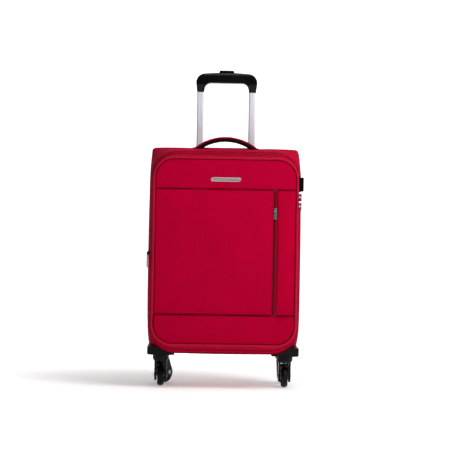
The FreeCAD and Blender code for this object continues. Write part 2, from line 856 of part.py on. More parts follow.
def make_casters():
    made = {}
    guards, kingpins = [], []
    for name, (x, y, turn) in CASTERS.items():
        guards.append(make_guard(x, y))
        head_top = kingpin_shelf() - running_gap
        head = rod(
            kingpin_head_radius, kingpin_head_thick, (x, y, head_top - kingpin_head_thick), (0, 0, 1)
        )
        shank = rod(kingpin_radius, guard_base + caster_height - head_top, (x, y, head_top), (0, 0, 1))
        kingpins.append(head.fuse(shank).removeSplitter())
        fork, wheel, axle = make_caster(x, y, turn)
        made[name + "_fork"] = fork
        made[name + "_wheel"] = wheel
        made[name + "_axle"] = axle
    made["corner_guards"] = Part.makeCompound(guards)
    made["kingpins"] = Part.makeCompound(kingpins)
    return made


# ---- Lock ----

lock_front_y = y_zip + lock_side_gap
lock_foot_x = half_body + running_gap
lock_face_x = lock_foot_x + lock_rise


def dial_middles():
    return [lock_foot + first_dial + n * dial_pitch for n in range(3)]


def make_lock():
    z0, z1 = lock_foot, lock_foot + lock_height
    case = box(lock_foot_x, lock_face_x, lock_front_y, lock_front_y + lock_depth, z0, z1)
    outer = [e for e in case.Edges if e.BoundBox.XMin > lock_face_x - 0.01]
    case = case.makeFillet(lock_edge, outer)
    root_back = y_frame - lock_root_margin
    root = box(outline_at(y_zip)[0] - wall, lock_foot_x, lock_front_y, root_back, z0, z1)
    case = case.fuse(root).removeSplitter()
    x, y = lock_face_x - dial_radius + dial_proud, lock_front_y + lock_depth / 2
    dials = {}
    for n, z in enumerate(dial_middles()):
        foot = z - dial_thick / 2
        gap = running_gap
        case = case.cut(rod(dial_radius + gap, dial_thick + 2 * gap, (x, y, foot - gap), (0, 0, 1)))
        bore = rod(spindle_radius + shaft_gap, dial_thick, (x, y, foot), (0, 0, 1))
        dial = rod(dial_radius, dial_thick, (x, y, foot), (0, 0, 1))
        dials[f"lock_dial_{n + 1}"] = dial.cut(bore)
    first, *_, last = dial_middles()
    past = dial_thick / 2 + running_gap + spindle_seat
    spindle = rod(spindle_radius, last - first + 2 * past, (x, y, first - past), (0, 0, 1))
    floor = lock_face_x - knob_deep
    z_knob = last + knob_above_dials
    low, high = z_knob - knob_half_z, z_knob + knob_half_z
    gap = running_gap
    side = knob_half_y + gap
    slot = box(floor - gap, far, y - side, y + side, low - gap - knob_travel, high + gap)
    knob = box(floor, lock_face_x + dial_proud, y - knob_half_y, y + knob_half_y, low, high)
    return {"lock_case": case.cut(slot).fuse(spindle), "lock_knob": knob, **dials}


# ---- Zip sliders and their pulls ----


def sideways(out):
    """The unit vector across a tape whose surface faces out."""
    return Vector(0, 1, 0) if abs(out.x) > 0.5 else Vector(1, 0, 0)


def make_slider(point, out, foot_z, width):
    """A slider body with its bail. point is on the tape's surface, and out is the unit vector
    that leaves the surface. The slider runs along Z from foot_z."""
    across = sideways(out)
    half = width / 2
    waist, neck = slider_waist * half, slider_neck * half
    low, high = slider_low * slider_length, slider_high * slider_length
    profile = [(-half, low), (-waist, 0.0), (waist, 0.0), (half, low), (half, high)]
    profile += [(neck, slider_length), (-neck, slider_length), (-half, high), (-half, low)]
    start = point + out * running_gap + Vector(0, 0, foot_z)
    plate_points = [start + across * a + Vector(0, 0, z) for a, z in profile]
    plate = Part.Face(Part.makePolygon(plate_points)).extrude(out * slider_thick)
    height = slider_rise - running_gap
    ends = (bail_low * slider_length, bail_high * slider_length)
    slope = bail_slope * slider_length
    bail_points = [(0.0, ends[0]), (0.0, ends[1]), (height, ends[1] - slope)]
    bail_points += [(height, ends[0] + slope), (0.0, ends[0])]
    at = start - across * bail_half
    bail = Part.Face(
        Part.makePolygon([at + out * o + Vector(0, 0, z) for o, z in bail_points])
    ).extrude(across * (2 * bail_half))
    pivot = pull_pivot(point, out, foot_z)
    eye = Part.makeCylinder(slider_eye, 4 * bail_half, pivot - across * (2 * bail_half), across)
    return plate.fuse(bail).cut(eye).removeSplitter()


def pull_pivot(point, out, foot_z):
    """The middle of the slider's eye, which the pull swings about."""
    rise = slider_rise - slider_eye - eye_margin
    return point + out * rise + Vector(0, 0, foot_z + slider_length / 2)


def make_pull(point, out, foot_z, length):
    """A flat pull that hangs down the tape. It holds the slider's bail between two ears, and a
    pin through the ears runs in the bail's eye."""
    across = sideways(out)
    down = Vector(0, 0, -1)
    pivot = pull_pivot(point, out, foot_z)
    ear_in, ear_out = bail_half + running_gap, bail_half + running_gap + ear_thick
    pin = Part.makeCylinder(slider_eye - shaft_gap, 2 * ear_out, pivot - across * ear_out, across)
    reach = ear_reach * slider_length
    ears = []
    for side in (-ear_out, ear_in):
        base = pivot + across * side - out * ear_half - down * ear_half
        ears.append(block_along(base, across * ear_thick, out * (2 * ear_half), down * (reach + ear_overlap)))
    root = pivot + down * reach
    plate_base = root - across * (pull_width / 2) - out * (pull_thick / 2)
    plate = block_along(plate_base, across * pull_width, out * pull_thick, down * (length - reach))
    return plate.fuse([pin, *ears]).removeSplitter()


def block_along(corner, a, b, c):
    """A box from one corner and its three edge vectors."""
    base = Part.makePolygon([corner, corner + a, corner + a + b, corner + b, corner])
    return Part.Face(base).extrude(c)


def zip_spots():
    """Each slider: a point on its tape, the way out, its width and foot, its pull's length."""
    y_main, y_gap = y_zip - zip_pair / 2, y_expander - zip_pair / 2
    right, left, front = Vector(1, 0, 0), Vector(-1, 0, 0), Vector(0, -1, 0)
    main_point = Vector(outline_at(y_main + slider_width / 2)[0], y_main, 0)
    gap_point = Vector(-outline_at(y_gap + slider_width / 2)[0], y_gap, 0)
    strip_edge = outline_at(y_face)[0] - side_strip_width
    pocket_x = strip_edge + (pocket_zip_width + seam_gap) / 2
    pocket_point = Vector(pocket_x, y_face - panel_thick / 2, 0)
    wide, narrow = slider_width, pocket_slider_width
    return {
        "lower": (main_point, right, wide, lower_slider_foot, main_pull_length),
        "upper": (main_point, right, wide, upper_slider_foot, main_pull_length),
        "expander": (gap_point, left, wide, expander_slider_foot, expander_pull_length),
        "pocket": (pocket_point, front, narrow, pocket_slider_foot, pocket_pull_length),
    }


def make_sliders():
    made = {}
    for name, (point, out, width, foot_z, length) in zip_spots().items():
        made[name + "_slider"] = make_slider(point, out, foot_z, width)
        made[name + "_pull"] = make_pull(point, out, foot_z, length)
    return made


# ---- Packing straps ----


def make_straps():
    y_back = y_duct - lining
    half = outline_at(y_back)[0] - wall - lining
    size_x, size_y, size_z = buckle_size
    pieces = []
    for z in strap_heights:
        strap = box(
            -half, half, y_back - strap_thick, y_back, z - strap_width / 2, z + strap_width / 2
        )
        buckle = box(
            -size_x / 2, size_x / 2, y_back - size_y, y_back, z - size_z / 2, z + size_z / 2
        )
        buckle = buckle.makeFillet(buckle_corner, long_edges(buckle, 1, 1))
        pieces.append(strap.fuse(buckle).removeSplitter())
    return {"packing_straps": Part.makeCompound(pieces)}


def main():
    os.makedirs("parts", exist_ok=True)
    nodes = {}
    for make in (
        make_body,
        make_frame_band,
        make_lid,
        make_grip,
        make_tubes,
        make_bezel,
        make_handle,
        make_casters,
        make_lock,
        make_sliders,
        make_straps,
    ):
        nodes.update(make())
    for name, shape in sorted(nodes.items()):
        solids = shape.Solids
        if not solids or not all(s.isValid() and s.Volume > 0 for s in solids):
            print("NOT VALID", name, len(solids))
        Part.makeCompound(solids).exportStep(f"parts/{name}.step")
    print(len(nodes), "nodes")


if __name__ == "__main__":
    main()
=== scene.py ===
import bpy, bmesh, math
import numpy as np
from mathutils import Matrix, Vector
from mathutils.bvhtree import BVHTree


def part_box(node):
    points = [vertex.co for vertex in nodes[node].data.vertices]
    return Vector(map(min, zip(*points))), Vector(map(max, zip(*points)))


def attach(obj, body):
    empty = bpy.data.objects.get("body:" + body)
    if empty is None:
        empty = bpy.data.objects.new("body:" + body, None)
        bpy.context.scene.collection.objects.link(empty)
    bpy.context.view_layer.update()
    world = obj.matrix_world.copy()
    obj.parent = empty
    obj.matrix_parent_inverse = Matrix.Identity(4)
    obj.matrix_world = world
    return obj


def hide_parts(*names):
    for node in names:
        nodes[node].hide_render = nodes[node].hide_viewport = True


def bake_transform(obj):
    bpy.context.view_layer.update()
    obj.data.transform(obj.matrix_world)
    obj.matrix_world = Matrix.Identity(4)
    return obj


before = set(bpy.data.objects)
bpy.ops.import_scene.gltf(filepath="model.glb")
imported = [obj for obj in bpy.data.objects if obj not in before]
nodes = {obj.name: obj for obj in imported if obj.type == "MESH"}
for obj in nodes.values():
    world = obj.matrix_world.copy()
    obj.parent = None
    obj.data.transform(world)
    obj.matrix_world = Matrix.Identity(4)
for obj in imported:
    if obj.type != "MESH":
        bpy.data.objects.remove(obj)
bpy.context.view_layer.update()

# ==== Body cloth ====
# The body is a long strip of woven polyester backed with thin foam, sewn into a tube and stretched
# between the back frame and the zips. Its long sides belly out a little, it is held flat under the
# corner guards, bezel and lock, and it puckers where the zip and the piping are sewn on.

wall_low, wall_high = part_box("body_wall")
y_face, y_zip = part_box("lid_wall")[0].y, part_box("frame_band")[0].y
y_expander, y_seam = wall_low.y, wall_high.y
y_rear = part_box("rear_panel")[1].y
y_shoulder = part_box("trolley_bezel")[0].y - 0.008
half, bottom, top = wall_high.x, wall_low.z, wall_high.z
STATIONS = np.array([  # depth, half width, underside, top, corner radius
    (y_face, half - 0.009, bottom + 0.022, top - 0.0275, 0.045),
    (y_zip, half - 0.0055, bottom + 0.0095, top - 0.018, 0.062),
    (y_expander, half, bottom, top - 0.011, 0.062),
    (y_shoulder, half, bottom, top, 0.010),
    (y_rear, half, bottom, top, 0.007),
])


def outline(y):
    return [np.interp(y, STATIONS[:, 0], STATIONS[:, k]) for k in range(1, 5)]


def make_loop(step, arc_steps=10):
    """Stations round the case, from the middle of the underside and up the right side: each lies
    a share t of the way from one corner's arc to the next one's, or on an arc."""
    rows = []
    corners = [(1, -1), (1, 1), (-1, 1), (-1, -1)]
    across, up = int(round(0.25 / step)), int(round(0.38 / step))
    for t in np.arange(across // 2) / across + 0.5:
        rows.append((-1, -1, -90, 1, -1, -90, t))
    for n, (sx, sz) in enumerate(corners):
        for a in range(arc_steps):
            angle = -90 + 90 * n + 90 * a / arc_steps
            rows.append((sx, sz, angle, sx, sz, angle, 0.0))
        nx, nz = corners[(n + 1) % 4]
        angle = 90 * n
        count = (up, across, up, across // 2)[n]
        for c in range(count):
            share = c / count * (0.5 if n == 3 else 1.0)
            rows.append((sx, sz, angle, nx, nz, angle, share))
    return np.array(rows)


def ring(loop, y, out=0.0):
    """Points and outward directions round the case at depth y, out past its outline."""
    half_w, low, high, radius = outline(y)
    radius = radius + out
    t = loop[:, 6]
    points, ways = [], []
    for k in (0, 3):
        angle = np.radians(loop[:, k + 2])
        way = np.stack([np.cos(angle), np.sin(angle)], 1)
        centre_x = loop[:, k] * (half_w + out - radius)
        centre_z = np.where(loop[:, k + 1] < 0, low - out + radius, high + out - radius)
        points.append(np.stack([centre_x, centre_z], 1) + way * radius)
        ways.append(way)
    flat = points[0] * (1 - t)[:, None] + points[1] * t[:, None]
    return flat, ways[0]


def mesh_object(name, verts, faces, uvs=None, edge=None):
    mesh = bpy.data.meshes.new(name)
    mesh.from_pydata([tuple(v) for v in verts], [], [tuple(f) for f in faces])
    if uvs is not None:
        layer = mesh.uv_layers.new(name="cloth")
        layer.data.foreach_set("uv", np.asarray(uvs, np.float32).ravel())
    if edge is not None:
        mark = mesh.attributes.new("edge", "FLOAT", "POINT")
        mark.data.foreach_set("value", np.asarray(edge, np.float32))
    for p in mesh.polygons:
        p.use_smooth = True
    made = bpy.data.objects.new(name, mesh)
    bpy.context.scene.collection.objects.link(made)
    return made


def sweep(name, loop, profile, closed=True, swell=None, edge=None):
    """A skin that follows the case's outline. profile is a list of (depth, out), with its outer
    side running from front to back. swell(points, ways, y, row) gives how far each point moves
    out."""
    verts, run = [], [0.0]
    for (y0, o0), (y1, o1) in zip(profile, profile[1:] + profile[:1]):
        run.append(run[-1] + math.hypot(y1 - y0, o1 - o0))
    for row, (y, out) in enumerate(profile):
        flat, ways = ring(loop, y, out)
        if swell is not None:
            flat = flat + ways * swell(flat, ways, y, row)[:, None]
        verts.append(np.stack([flat[:, 0], np.full(len(flat), y), flat[:, 1]], 1))
    n, rows = len(loop), len(profile)
    flat, _ = ring(loop, y_shoulder)
    steps = np.linalg.norm(np.roll(flat, -1, 0) - flat, axis=1)
    round_run = np.concatenate([[0], np.cumsum(steps)])
    faces, uvs = [], []
    for i in range(rows if closed else rows - 1):
        k = (i + 1) % rows
        for j in range(n):
            m = (j + 1) % n
            faces.append((i * n + j, k * n + j, k * n + m, i * n + m))
            for a, b in ((i, j), (i + 1, j), (i + 1, j + 1), (i, j + 1)):
                uvs.append((round_run[b], run[a]))
    # edge(y) gives each row's painted seam shade: the cloth is drawn darker near the skin's ends
    marks = None
    if edge is not None:
        marks = np.repeat([edge(y) for y, _ in profile], n)
    return mesh_object(name, np.concatenate(verts), faces, uvs, marks)


def span(a, b, step):
    count = max(1, int(round(abs(b - a) / step)))
    return [a + (b - a) * k / count for k in range(count + 1)]


def wall_profile(y0, y1, step, thick=0.0036, roll=0.0013, sink=0.0011):
    """The section of a wall of cloth over foam: both edges rolled in, the inner side plain."""
    outer = [(y0, -sink)] + [(y, 0.0) for y in span(y0 + roll, y1 - roll, step)] + [(y1, -sink)]
    inner = [(y, -thick) for y in span(y1, y0, max(step * 3, 0.008))]
    return outer + inner


def plain_mesh(made):
    """The object with its modifiers worked into its mesh."""
    graph = bpy.context.evaluated_depsgraph_get()
    mesh = bpy.data.meshes.new_from_object(made.evaluated_get(graph))
    made.modifiers.clear()
    old, made.data = made.data, mesh
    bpy.data.meshes.remove(old)
    return made


def subdivide(made, levels=1):
    smooth = made.modifiers.new("rounding", "SUBSURF")
    smooth.levels = smooth.render_levels = levels
    return plain_mesh(made)


def outward(made):
    """The object with its faces turned to point outwards."""
    bm = bmesh.new()
    bm.from_mesh(made.data)
    bmesh.ops.recalc_face_normals(bm, faces=bm.faces)
    bm.to_mesh(made.data)
    bm.free()
    return made


def from_bmesh(name, bm):
    """A new object that takes its mesh from bm."""
    made = bpy.data.objects.new(name, bpy.data.meshes.new(name))
    bm.to_mesh(made.data)
    bm.free()
    bpy.context.scene.collection.objects.link(made)
    return made


def points_of(made):
    flat = np.zeros(len(made.data.vertices) * 3, np.float32)
    made.data.vertices.foreach_get("co", flat)
    return flat.reshape(-1, 3).astype(float)


def move_points(made, points):
    made.data.vertices.foreach_set("co", np.asarray(points, np.float32).ravel())
    made.data.update()


def inflate(made, held, cap, pressure=4.0, frames=20):
    """Lets the foam behind a cloth push it out. held is 1 where the cloth is sewn down and 0
    where it is free, and no point moves further than cap."""
    before = points_of(made)
    group = made.vertex_groups.new(name="sewn")
    for index, weight in enumerate(held):
        if weight > 0.01:
            group.add([index], float(min(weight, 1.0)), "REPLACE")
    cloth = made.modifiers.new("foam push", "CLOTH")
    cloth.settings.quality = 6
    cloth.settings.use_pressure = True
    cloth.settings.uniform_pressure_force = pressure
    cloth.settings.vertex_group_mass = "sewn"
    cloth.settings.effector_weights.gravity = 0
    cloth.settings.bending_stiffness = 0.8
    cloth.collision_settings.use_collision = False
    cloth.point_cache.frame_start, cloth.point_cache.frame_end = 1, frames
    for at in range(1, frames + 1):
        bpy.context.scene.frame_set(at)
    plain_mesh(made)
    bpy.context.scene.frame_set(1)
    moved = points_of(made) - before
    length = np.linalg.norm(moved, axis=1)
    limit = np.minimum(length, cap) / np.maximum(length, 1e-9)
    free = 1 - np.clip(held, 0, 1)
    move_points(made, before + moved * (limit * free)[:, None])
    made.vertex_groups.clear()
    return made


def smooth_step(value, low, high):
    t = np.clip((value - low) / (high - low), 0, 1)
    return t * t * (3 - 2 * t)


def ripple(along, seed):
    """Uneven gathers along a seam, from -1 to 1: a few waves whose lengths don't divide evenly."""
    total = sum(
        math.cos(seed * k + 1) * np.sin(along * 2 * math.pi / length + seed * k)
        for k, length in enumerate((0.0143, 0.0231, 0.0357, 0.0092), 1)
    )
    return total / 1.9


guard_long = 0.062  # a corner guard's side


def held_down(points, margin=0.010):
    """1 where a hard piece lies on the body's cloth, fading to 0 beside it."""
    held = np.zeros(len(points))
    for node in ("corner_guards", "trolley_bezel", "lock_case", "handle_core"):
        low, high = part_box(node)
        if node == "corner_guards":
            inside_x = (half + 0.0035 - guard_long) - np.abs(points[:, 0])
            gap = np.maximum(inside_x, points[:, 2] - high.z)
        elif node == "handle_core":
            near_foot = np.abs(np.abs(points[:, 0]) - 0.068) - 0.012
            beside = np.maximum(low.y - points[:, 1], points[:, 1] - high.y)
            gap = np.maximum.reduce([near_foot, beside, 0.5 - points[:, 2]])
        else:
            apart = [np.maximum(low[k] - points[:, k], points[:, k] - high[k]) for k in range(3)]
            gap = np.maximum.reduce(apart)
        held = np.maximum(held, 1 - smooth_step(gap, 0.0, margin))
    return held


def lift_out(made, size, seed, middle):
    """Moves a ring's points in and out a little, away from a point at the height middle."""
    at = points_of(made)
    way = np.stack([at[:, 0], at[:, 2] - middle], 1)
    way /= np.linalg.norm(way, axis=1)[:, None]
    at[:, [0, 2]] += way * (size * ripple(at[:, 0] + at[:, 2], seed))[:, None]
    move_points(made, at)


def sewn_ends(y, front, back, margin):
    return 1 - smooth_step(np.minimum(y - front, back - y), 0.0, margin)


body_loop = make_loop(0.0062)


def add(tree, kind, inputs=None, **settings):
    """Adds a node: settings are its own, and inputs are values or links for its sockets."""
    made = tree.nodes.new(kind)
    for key, value in settings.items():
        setattr(made, key, value)
    for key, value in (inputs or {}).items():
        if isinstance(value, bpy.types.NodeSocket):
            tree.links.new(value, made.inputs[key])
        else:
            made.inputs[key].default_value = value
    return made


def srgb(code):
    """An sRGB hex colour as the linear values that the nodes take."""
    parts = [int(code[k:k + 2], 16) / 255 for k in (1, 3, 5)]
    return [c / 12.92 if c <= 0.04045 else ((c + 0.055) / 1.055) ** 2.4 for c in parts] + [1.0]


def new_material(name):
    made = bpy.data.materials.new(name)
    made.use_nodes = True
    return made, made.node_tree, made.node_tree.nodes["Principled BSDF"]


def woven(name, lit, deep, thread, rough=0.8, sheen=0.04, sheen_tint=None, relief=0.35, shade=0.55,
          gloss=0.1):
    """Plain-woven cloth on the piece's own layout, which is in metres. lit and deep are the raised
    thread, painted lit, and the sunk thread, painted in shade; thread is the width of one thread."""
    made, tree, bsdf = new_material(name)
    place = add(tree, "ShaderNodeUVMap", uv_map="cloth").outputs[0]
    wave = []
    for axis in range(2):
        parts = add(tree, "ShaderNodeSeparateXYZ", {0: place})
        turns = add(tree, "ShaderNodeMath", {0: parts.outputs[axis], 1: math.pi / thread},
                    operation="MULTIPLY")
        wave.append(add(tree, "ShaderNodeMath", {0: turns.outputs[0]}, operation="SINE").outputs[0])
    weave = add(tree, "ShaderNodeMath", {0: wave[0], 1: wave[1]}, operation="MULTIPLY").outputs[0]
    # slubs: threads are a little thick and thin along their length, both ways
    slubs = []
    for stretch in ((1, 0.06, 1), (0.06, 1, 1)):
        drawn = add(tree, "ShaderNodeMapping", {"Vector": place, "Scale": stretch})
        noise = add(tree, "ShaderNodeTexNoise", {"Vector": drawn.outputs[0], "Scale": 420.0,
                                                 "Detail": 3.0, "Roughness": 0.6})
        slubs.append(noise.outputs["Fac"])
    slub = add(tree, "ShaderNodeMath", {0: slubs[0], 1: slubs[1]}, operation="ADD").outputs[0]
    cloud = add(tree, "ShaderNodeTexNoise", {"Vector": place, "Scale": 9.0, "Detail": 4.0})
    mixed = add(tree, "ShaderNodeMath", {0: weave, 1: 0.22, 2: slub}, operation="MULTIPLY_ADD")
    mixed = add(tree, "ShaderNodeMapRange", {"Value": mixed.outputs[0], "From Min": 0.55,
                                             "From Max": 1.45}).outputs[0]
    # painted light in the weave: raised threads take the lit colour, sunk ones the shaded deep
    # colour
    tone = add(tree, "ShaderNodeMix", {0: mixed, 6: srgb(deep), 7: srgb(lit)}, data_type="RGBA")
    # painted shade: the cloth is darker where it dips into a seam, by the edge mark
    edge = add(tree, "ShaderNodeAttribute", attribute_name="edge").outputs["Fac"]
    worn = add(tree, "ShaderNodeMapRange", {"Value": cloud.outputs["Fac"], "From Min": 0.3,
                                            "From Max": 0.7, "To Min": 0.93, "To Max": 1.04})
    painted_seam_shade = add(tree, "ShaderNodeMapRange", {"Value": edge, "To Min": 1.0, "To Max": shade})
    dim = add(tree, "ShaderNodeMath", {0: worn.outputs[0], 1: painted_seam_shade.outputs[0]}, operation="MULTIPLY")
    level = add(tree, "ShaderNodeCombineColor", {0: dim.outputs[0], 1: dim.outputs[0],
                                                 2: dim.outputs[0]})
    colour = add(tree, "ShaderNodeMix", {0: 1.0, 6: tone.outputs[2], 7: level.outputs[0]},
                 data_type="RGBA", blend_type="MULTIPLY")
    tree.links.new(colour.outputs[2], bsdf.inputs["Base Color"])
    height = add(tree, "ShaderNodeMath", {0: weave, 1: 0.5, 2: slub}, operation="MULTIPLY_ADD")
    bump = add(tree, "ShaderNodeBump", {"Height": height.outputs[0], "Strength": relief,
                                        "Distance": thread * 0.35})
    tree.links.new(bump.outputs[0], bsdf.inputs["Normal"])
    bsdf.inputs["Roughness"].default_value = rough
    bsdf.inputs["Specular IOR Level"].default_value = gloss
    bsdf.inputs["Sheen Weight"].default_value = sheen
    bsdf.inputs["Sheen Roughness"].default_value = 0.45
    bsdf.inputs["Sheen Tint"].default_value = srgb(sheen_tint or lit)
    return made


# Woven polyester, dyed red and matt. Two close reds cross in it: the raised threads painted lit,
# the hollows of the weave painted in shade. Its threads are 0.5 mm, drawn 1.1 mm wide so that
# they show.
red_cloth = woven("woven red polyester", "#B60030", "#9F0027", 0.0011, sheen=0.0, gloss=0.015,
                  shade=0.66)


def dress(made, material, body, slot, *stands_for):
    """Gives a piece its material, the body it moves with and the CAD nodes it stands for."""
    made.data.materials.clear()
    made.data.materials.append(material)
    if body:
        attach(made, body)
    if stands_for:
        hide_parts(*stands_for)
    return made


def wall_swell(flat, ways, y, row):
    """The belly of the sides and top: most at mid height, none at the seams and under hard
    pieces."""
    points = np.stack([flat[:, 0], np.full(len(flat), y), flat[:, 1]], 1)
    middle = (bottom + top) / 2
    tall = np.clip(1 - ((flat[:, 1] - middle + 0.03) / 0.235) ** 2, 0, 1)
    wide = np.clip(1 - (flat[:, 0] / 0.15) ** 2, 0, 1)
    belly = 0.0034 * tall * np.abs(ways[:, 0]) ** 2 + 0.0016 * wide * np.abs(ways[:, 1]) ** 2
    depth = np.sin(math.pi * np.clip((y - y_expander) / (y_seam - y_expander), 0, 1)) ** 0.6
    return belly * depth * (1 - held_down(points))


outer_rows = len(wall_profile(y_expander, y_seam, 0.0062)) - len(
    span(y_seam, y_expander, max(0.0062 * 3, 0.008)))
# Its edge mark paints the cloth darker as it rolls in at both seams: painted shade.
body = sweep("body_cloth", body_loop, wall_profile(y_expander, y_seam, 0.0062),
             swell=lambda f, w, y, row: (wall_swell(f, w, y, row) if row < outer_rows
                                         else 0 * f[:, 0]),
             edge=lambda y: float(1 - smooth_step(min(y - y_expander, y_seam - y), 0.0008, 0.005)))
at = points_of(body)
pinned = np.maximum(sewn_ends(at[:, 1], y_expander, y_seam, 0.022), held_down(at, 0.014))
pinned[outer_rows * len(body_loop):] = 1.0
inflate(body, pinned, cap=0.0035)
subdivide(body)
at = points_of(body)
near_front = np.exp(-((at[:, 1] - y_expander) / 0.011) ** 2) * (at[:, 1] > y_expander + 0.001)
near_back = np.exp(-((y_seam - at[:, 1]) / 0.011) ** 2) * (at[:, 1] < y_seam - 0.001)
pucker = 0.00045 * (near_front * ripple(at[:, 2] + at[:, 0], 3.1)
                    + near_back * ripple(at[:, 2] - at[:, 0], 5.3)) * (1 - held_down(at, 0.012))
normals = np.zeros(len(at) * 3, np.float32)
body.data.vertices.foreach_get("normal", normals)
move_points(body, at + normals.reshape(-1, 3) * np.maximum(pucker, -0.0003)[:, None])

# The trolley's cup drops through a cut in the top.
low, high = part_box("trolley_bezel")
cup_half_x, cup_half_y = (high.x - low.x) / 2 - 0.0025, (high.y - low.y) / 2 - 0.0025
cup_y = (low.y + high.y) / 2
bm = bmesh.new()
bmesh.ops.create_cube(bm, size=1.0)
bmesh.ops.scale(bm, vec=(2 * cup_half_x, 2 * cup_half_y, 0.06), verts=bm.verts)
bmesh.ops.translate(bm, vec=(0, cup_y, top), verts=bm.verts)
cutter = from_bmesh("cutter", bm)
cut = body.modifiers.new("cup", "BOOLEAN")
cut.operation, cut.object, cut.solver = "DIFFERENCE", cutter, "EXACT"
plain_mesh(body)
bpy.data.objects.remove(cutter)
dress(body, red_cloth, "shell", "red_fabric", "body_wall")

# ==== Piping ====
# A cord in a folded strip of the same red cloth, sewn in round the back panel and round the lid's
# front. It stands just proud of the cloth on both sides and takes the knocks, so it is the hardest
# line on the case.

piping_cloth = woven("red piping cloth", "#B80230", "#980022", 0.0009, rough=0.6, sheen=0.08,
                     sheen_tint="#E01050", shade=0.6, gloss=0.12)


def piping_ring(name, y_middle, out, radius, body_name, slot, *stands_for):
    turn = [2 * math.pi * k / 12 for k in range(12)]
    profile = [(y_middle - radius * math.cos(a), out + radius * math.sin(a)) for a in turn]
    made = sweep(name, make_loop(0.004, 14), profile, edge=lambda y: 0.0)
    lift_out(made, 0.00012, 2.2, (bottom + top) / 2)
    return dress(made, piping_cloth, body_name, slot, *stands_for)


low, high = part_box("rear_piping")
piping_ring("rear_piping_cord", (low.y + high.y) / 2, -0.0004, 0.0021, "shell", "red_piping",
            "rear_piping")

# ==== Back panel ====
# A flat rectangle of the same padded cloth, sewn to the piping all round over a stiff sheet. Two
# moulded runners are screwed through it, so that the case can be laid on its back.


def panel_rows(z0, z1, step, fine=(0.0, 0.0006, 0.0014, 0.0026, 0.0042)):
    """Heights or widths between two seams, close together beside both."""
    inner = [v for v in span(z0 + fine[-1], z1 - fine[-1], step)[1:-1]]
    return [z0 + f for f in fine] + inner + [z1 - f for f in fine[::-1]]


def corner_rows(rows, start, length, steps=9):
    """Replaces the rows in a rounded corner by rows at even angles. start is where the corner
    begins and length its radius, negative when it lies below."""
    kept = [z for z in rows if (z - start) * math.copysign(1, length) < 0]
    turned = [start + length * math.sin(math.pi / 2 * k / steps) for k in range(steps + 1)]
    return sorted(set(round(z, 6) for z in kept + turned))


def inside_gap(x, z, half_w, low, high, radius):
    """How far a point lies inside a rectangle with rounded corners."""
    middle = (low + high) / 2
    qx = np.abs(x) - (half_w - radius)
    qz = np.abs(z - middle) - ((high - low) / 2 - radius)
    outside = np.hypot(np.maximum(qx, 0), np.maximum(qz, 0))
    return radius - (outside + np.minimum(np.maximum(qx, qz), 0))


def panel(name, rows, left, right, gap_of, y_back, rise, way, step=0.005, edge_round=0.0028):
    """A padded panel: a front skin whose edges roll down to y_back, and a flat skin behind.
    left and right give its sides at a height, gap_of(x, z) the distance to its nearest edge,
    rise(x, z) its thickness, and way is -1 when it faces the front and 1 when it faces back."""
    widest = max(right(z) - left(z) for z in rows)
    shares = np.array(panel_rows(0.0, widest, step)) / widest
    grid = []
    for z in rows:
        x0, x1 = left(z), right(z)
        grid.append(np.stack([x0 + (x1 - x0) * shares, np.full(len(shares), z)], 1))
    grid = np.array(grid)
    x, z = grid[..., 0], grid[..., 1]
    gap = np.maximum(gap_of(x, z), 0)
    bend = np.clip(gap / edge_round, 0, 1)
    height = rise(x, z) * np.sqrt(np.clip(1 - (1 - bend) ** 2, 0, 1))
    front = np.stack([x, y_back + way * height, z], -1).reshape(-1, 3)
    rear = np.stack([x, np.full_like(x, y_back) - way * 0.0002, z], -1).reshape(-1, 3)
    r, c = x.shape
    n = r * c
    faces, flip = [], way > 0
    for i in range(r - 1):
        for j in range(c - 1):
            quad = [i * c + j, i * c + j + 1, (i + 1) * c + j + 1, (i + 1) * c + j]
            faces.append(quad[::-1] if flip else quad)
            faces.append([n + v for v in (quad if flip else quad[::-1])])
    rim = [j for j in range(c)] + [i * c + c - 1 for i in range(1, r)]
    rim += [(r - 1) * c + j for j in range(c - 2, -1, -1)] + [i * c for i in range(r - 2, 0, -1)]
    for a, b in zip(rim, rim[1:] + rim[:1]):
        quad = [b, a, n + a, n + b]
        faces.append(quad[::-1] if flip else quad)
    where = np.concatenate([front, rear])
    uvs = [(where[v][0], where[v][2]) for f in faces for v in f]
    # painted shade: the skin is drawn darker where it rolls down into its seam
    sunk = 1 - smooth_step(np.concatenate([gap.ravel(), gap.ravel()]), 0.0005, 0.0042)
    made = mesh_object(name, where, faces, uvs, sunk)
    made["gaps"] = [float(v) for v in np.concatenate([gap.ravel(), np.full(n, -1.0)])]
    return made


def puff(made, cap=0.0, pressure=4.0, margin=0.011):
    """Foam push on a panel whose edge and back are sewn down, then one subdivision. A panel
    without a cap lies as it was laid, so it has no foam push."""
    gap = np.array(made["gaps"])
    del made["gaps"]
    if cap:
        held = np.where(gap < 0, 1.0, 1 - smooth_step(gap, 0.002, margin))
        inflate(made, held, cap, pressure)
    return subdivide(made)


half_r, low_r, high_r, radius_r = outline(y_rear)
seat = 0.0031
half_r, low_r, high_r, radius_r = half_r - seat, low_r + seat, high_r - seat, radius_r - seat


def side_at(z, half_w, low, high, radius):
    deep = max(abs(z - (low + high) / 2) - ((high - low) / 2 - radius), 0.0)
    return half_w - radius + math.sqrt(max(radius * radius - deep * deep, 0.0))


rows = panel_rows(low_r, high_r, 0.006)
rows = corner_rows(rows, high_r - radius_r, radius_r, 6)
rows = corner_rows(rows, low_r + radius_r, -radius_r, 6)
skid_low, skid_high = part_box("rear_skids")
skid_x = 0.115  # from the middle to each runner


def back_rise(x, z):
    flat = 1 - smooth_step(np.maximum(np.abs(np.abs(x) - skid_x) - 0.0075,
                                      np.abs(z - 0.157) - 0.065), 0.0, 0.02)
    crown = np.clip(1 - (x / 0.17) ** 4, 0, 1) * np.clip(1 - ((z - 0.31) / 0.235) ** 4, 0, 1)
    return 0.0049 + 0.0018 * crown * (1 - flat)


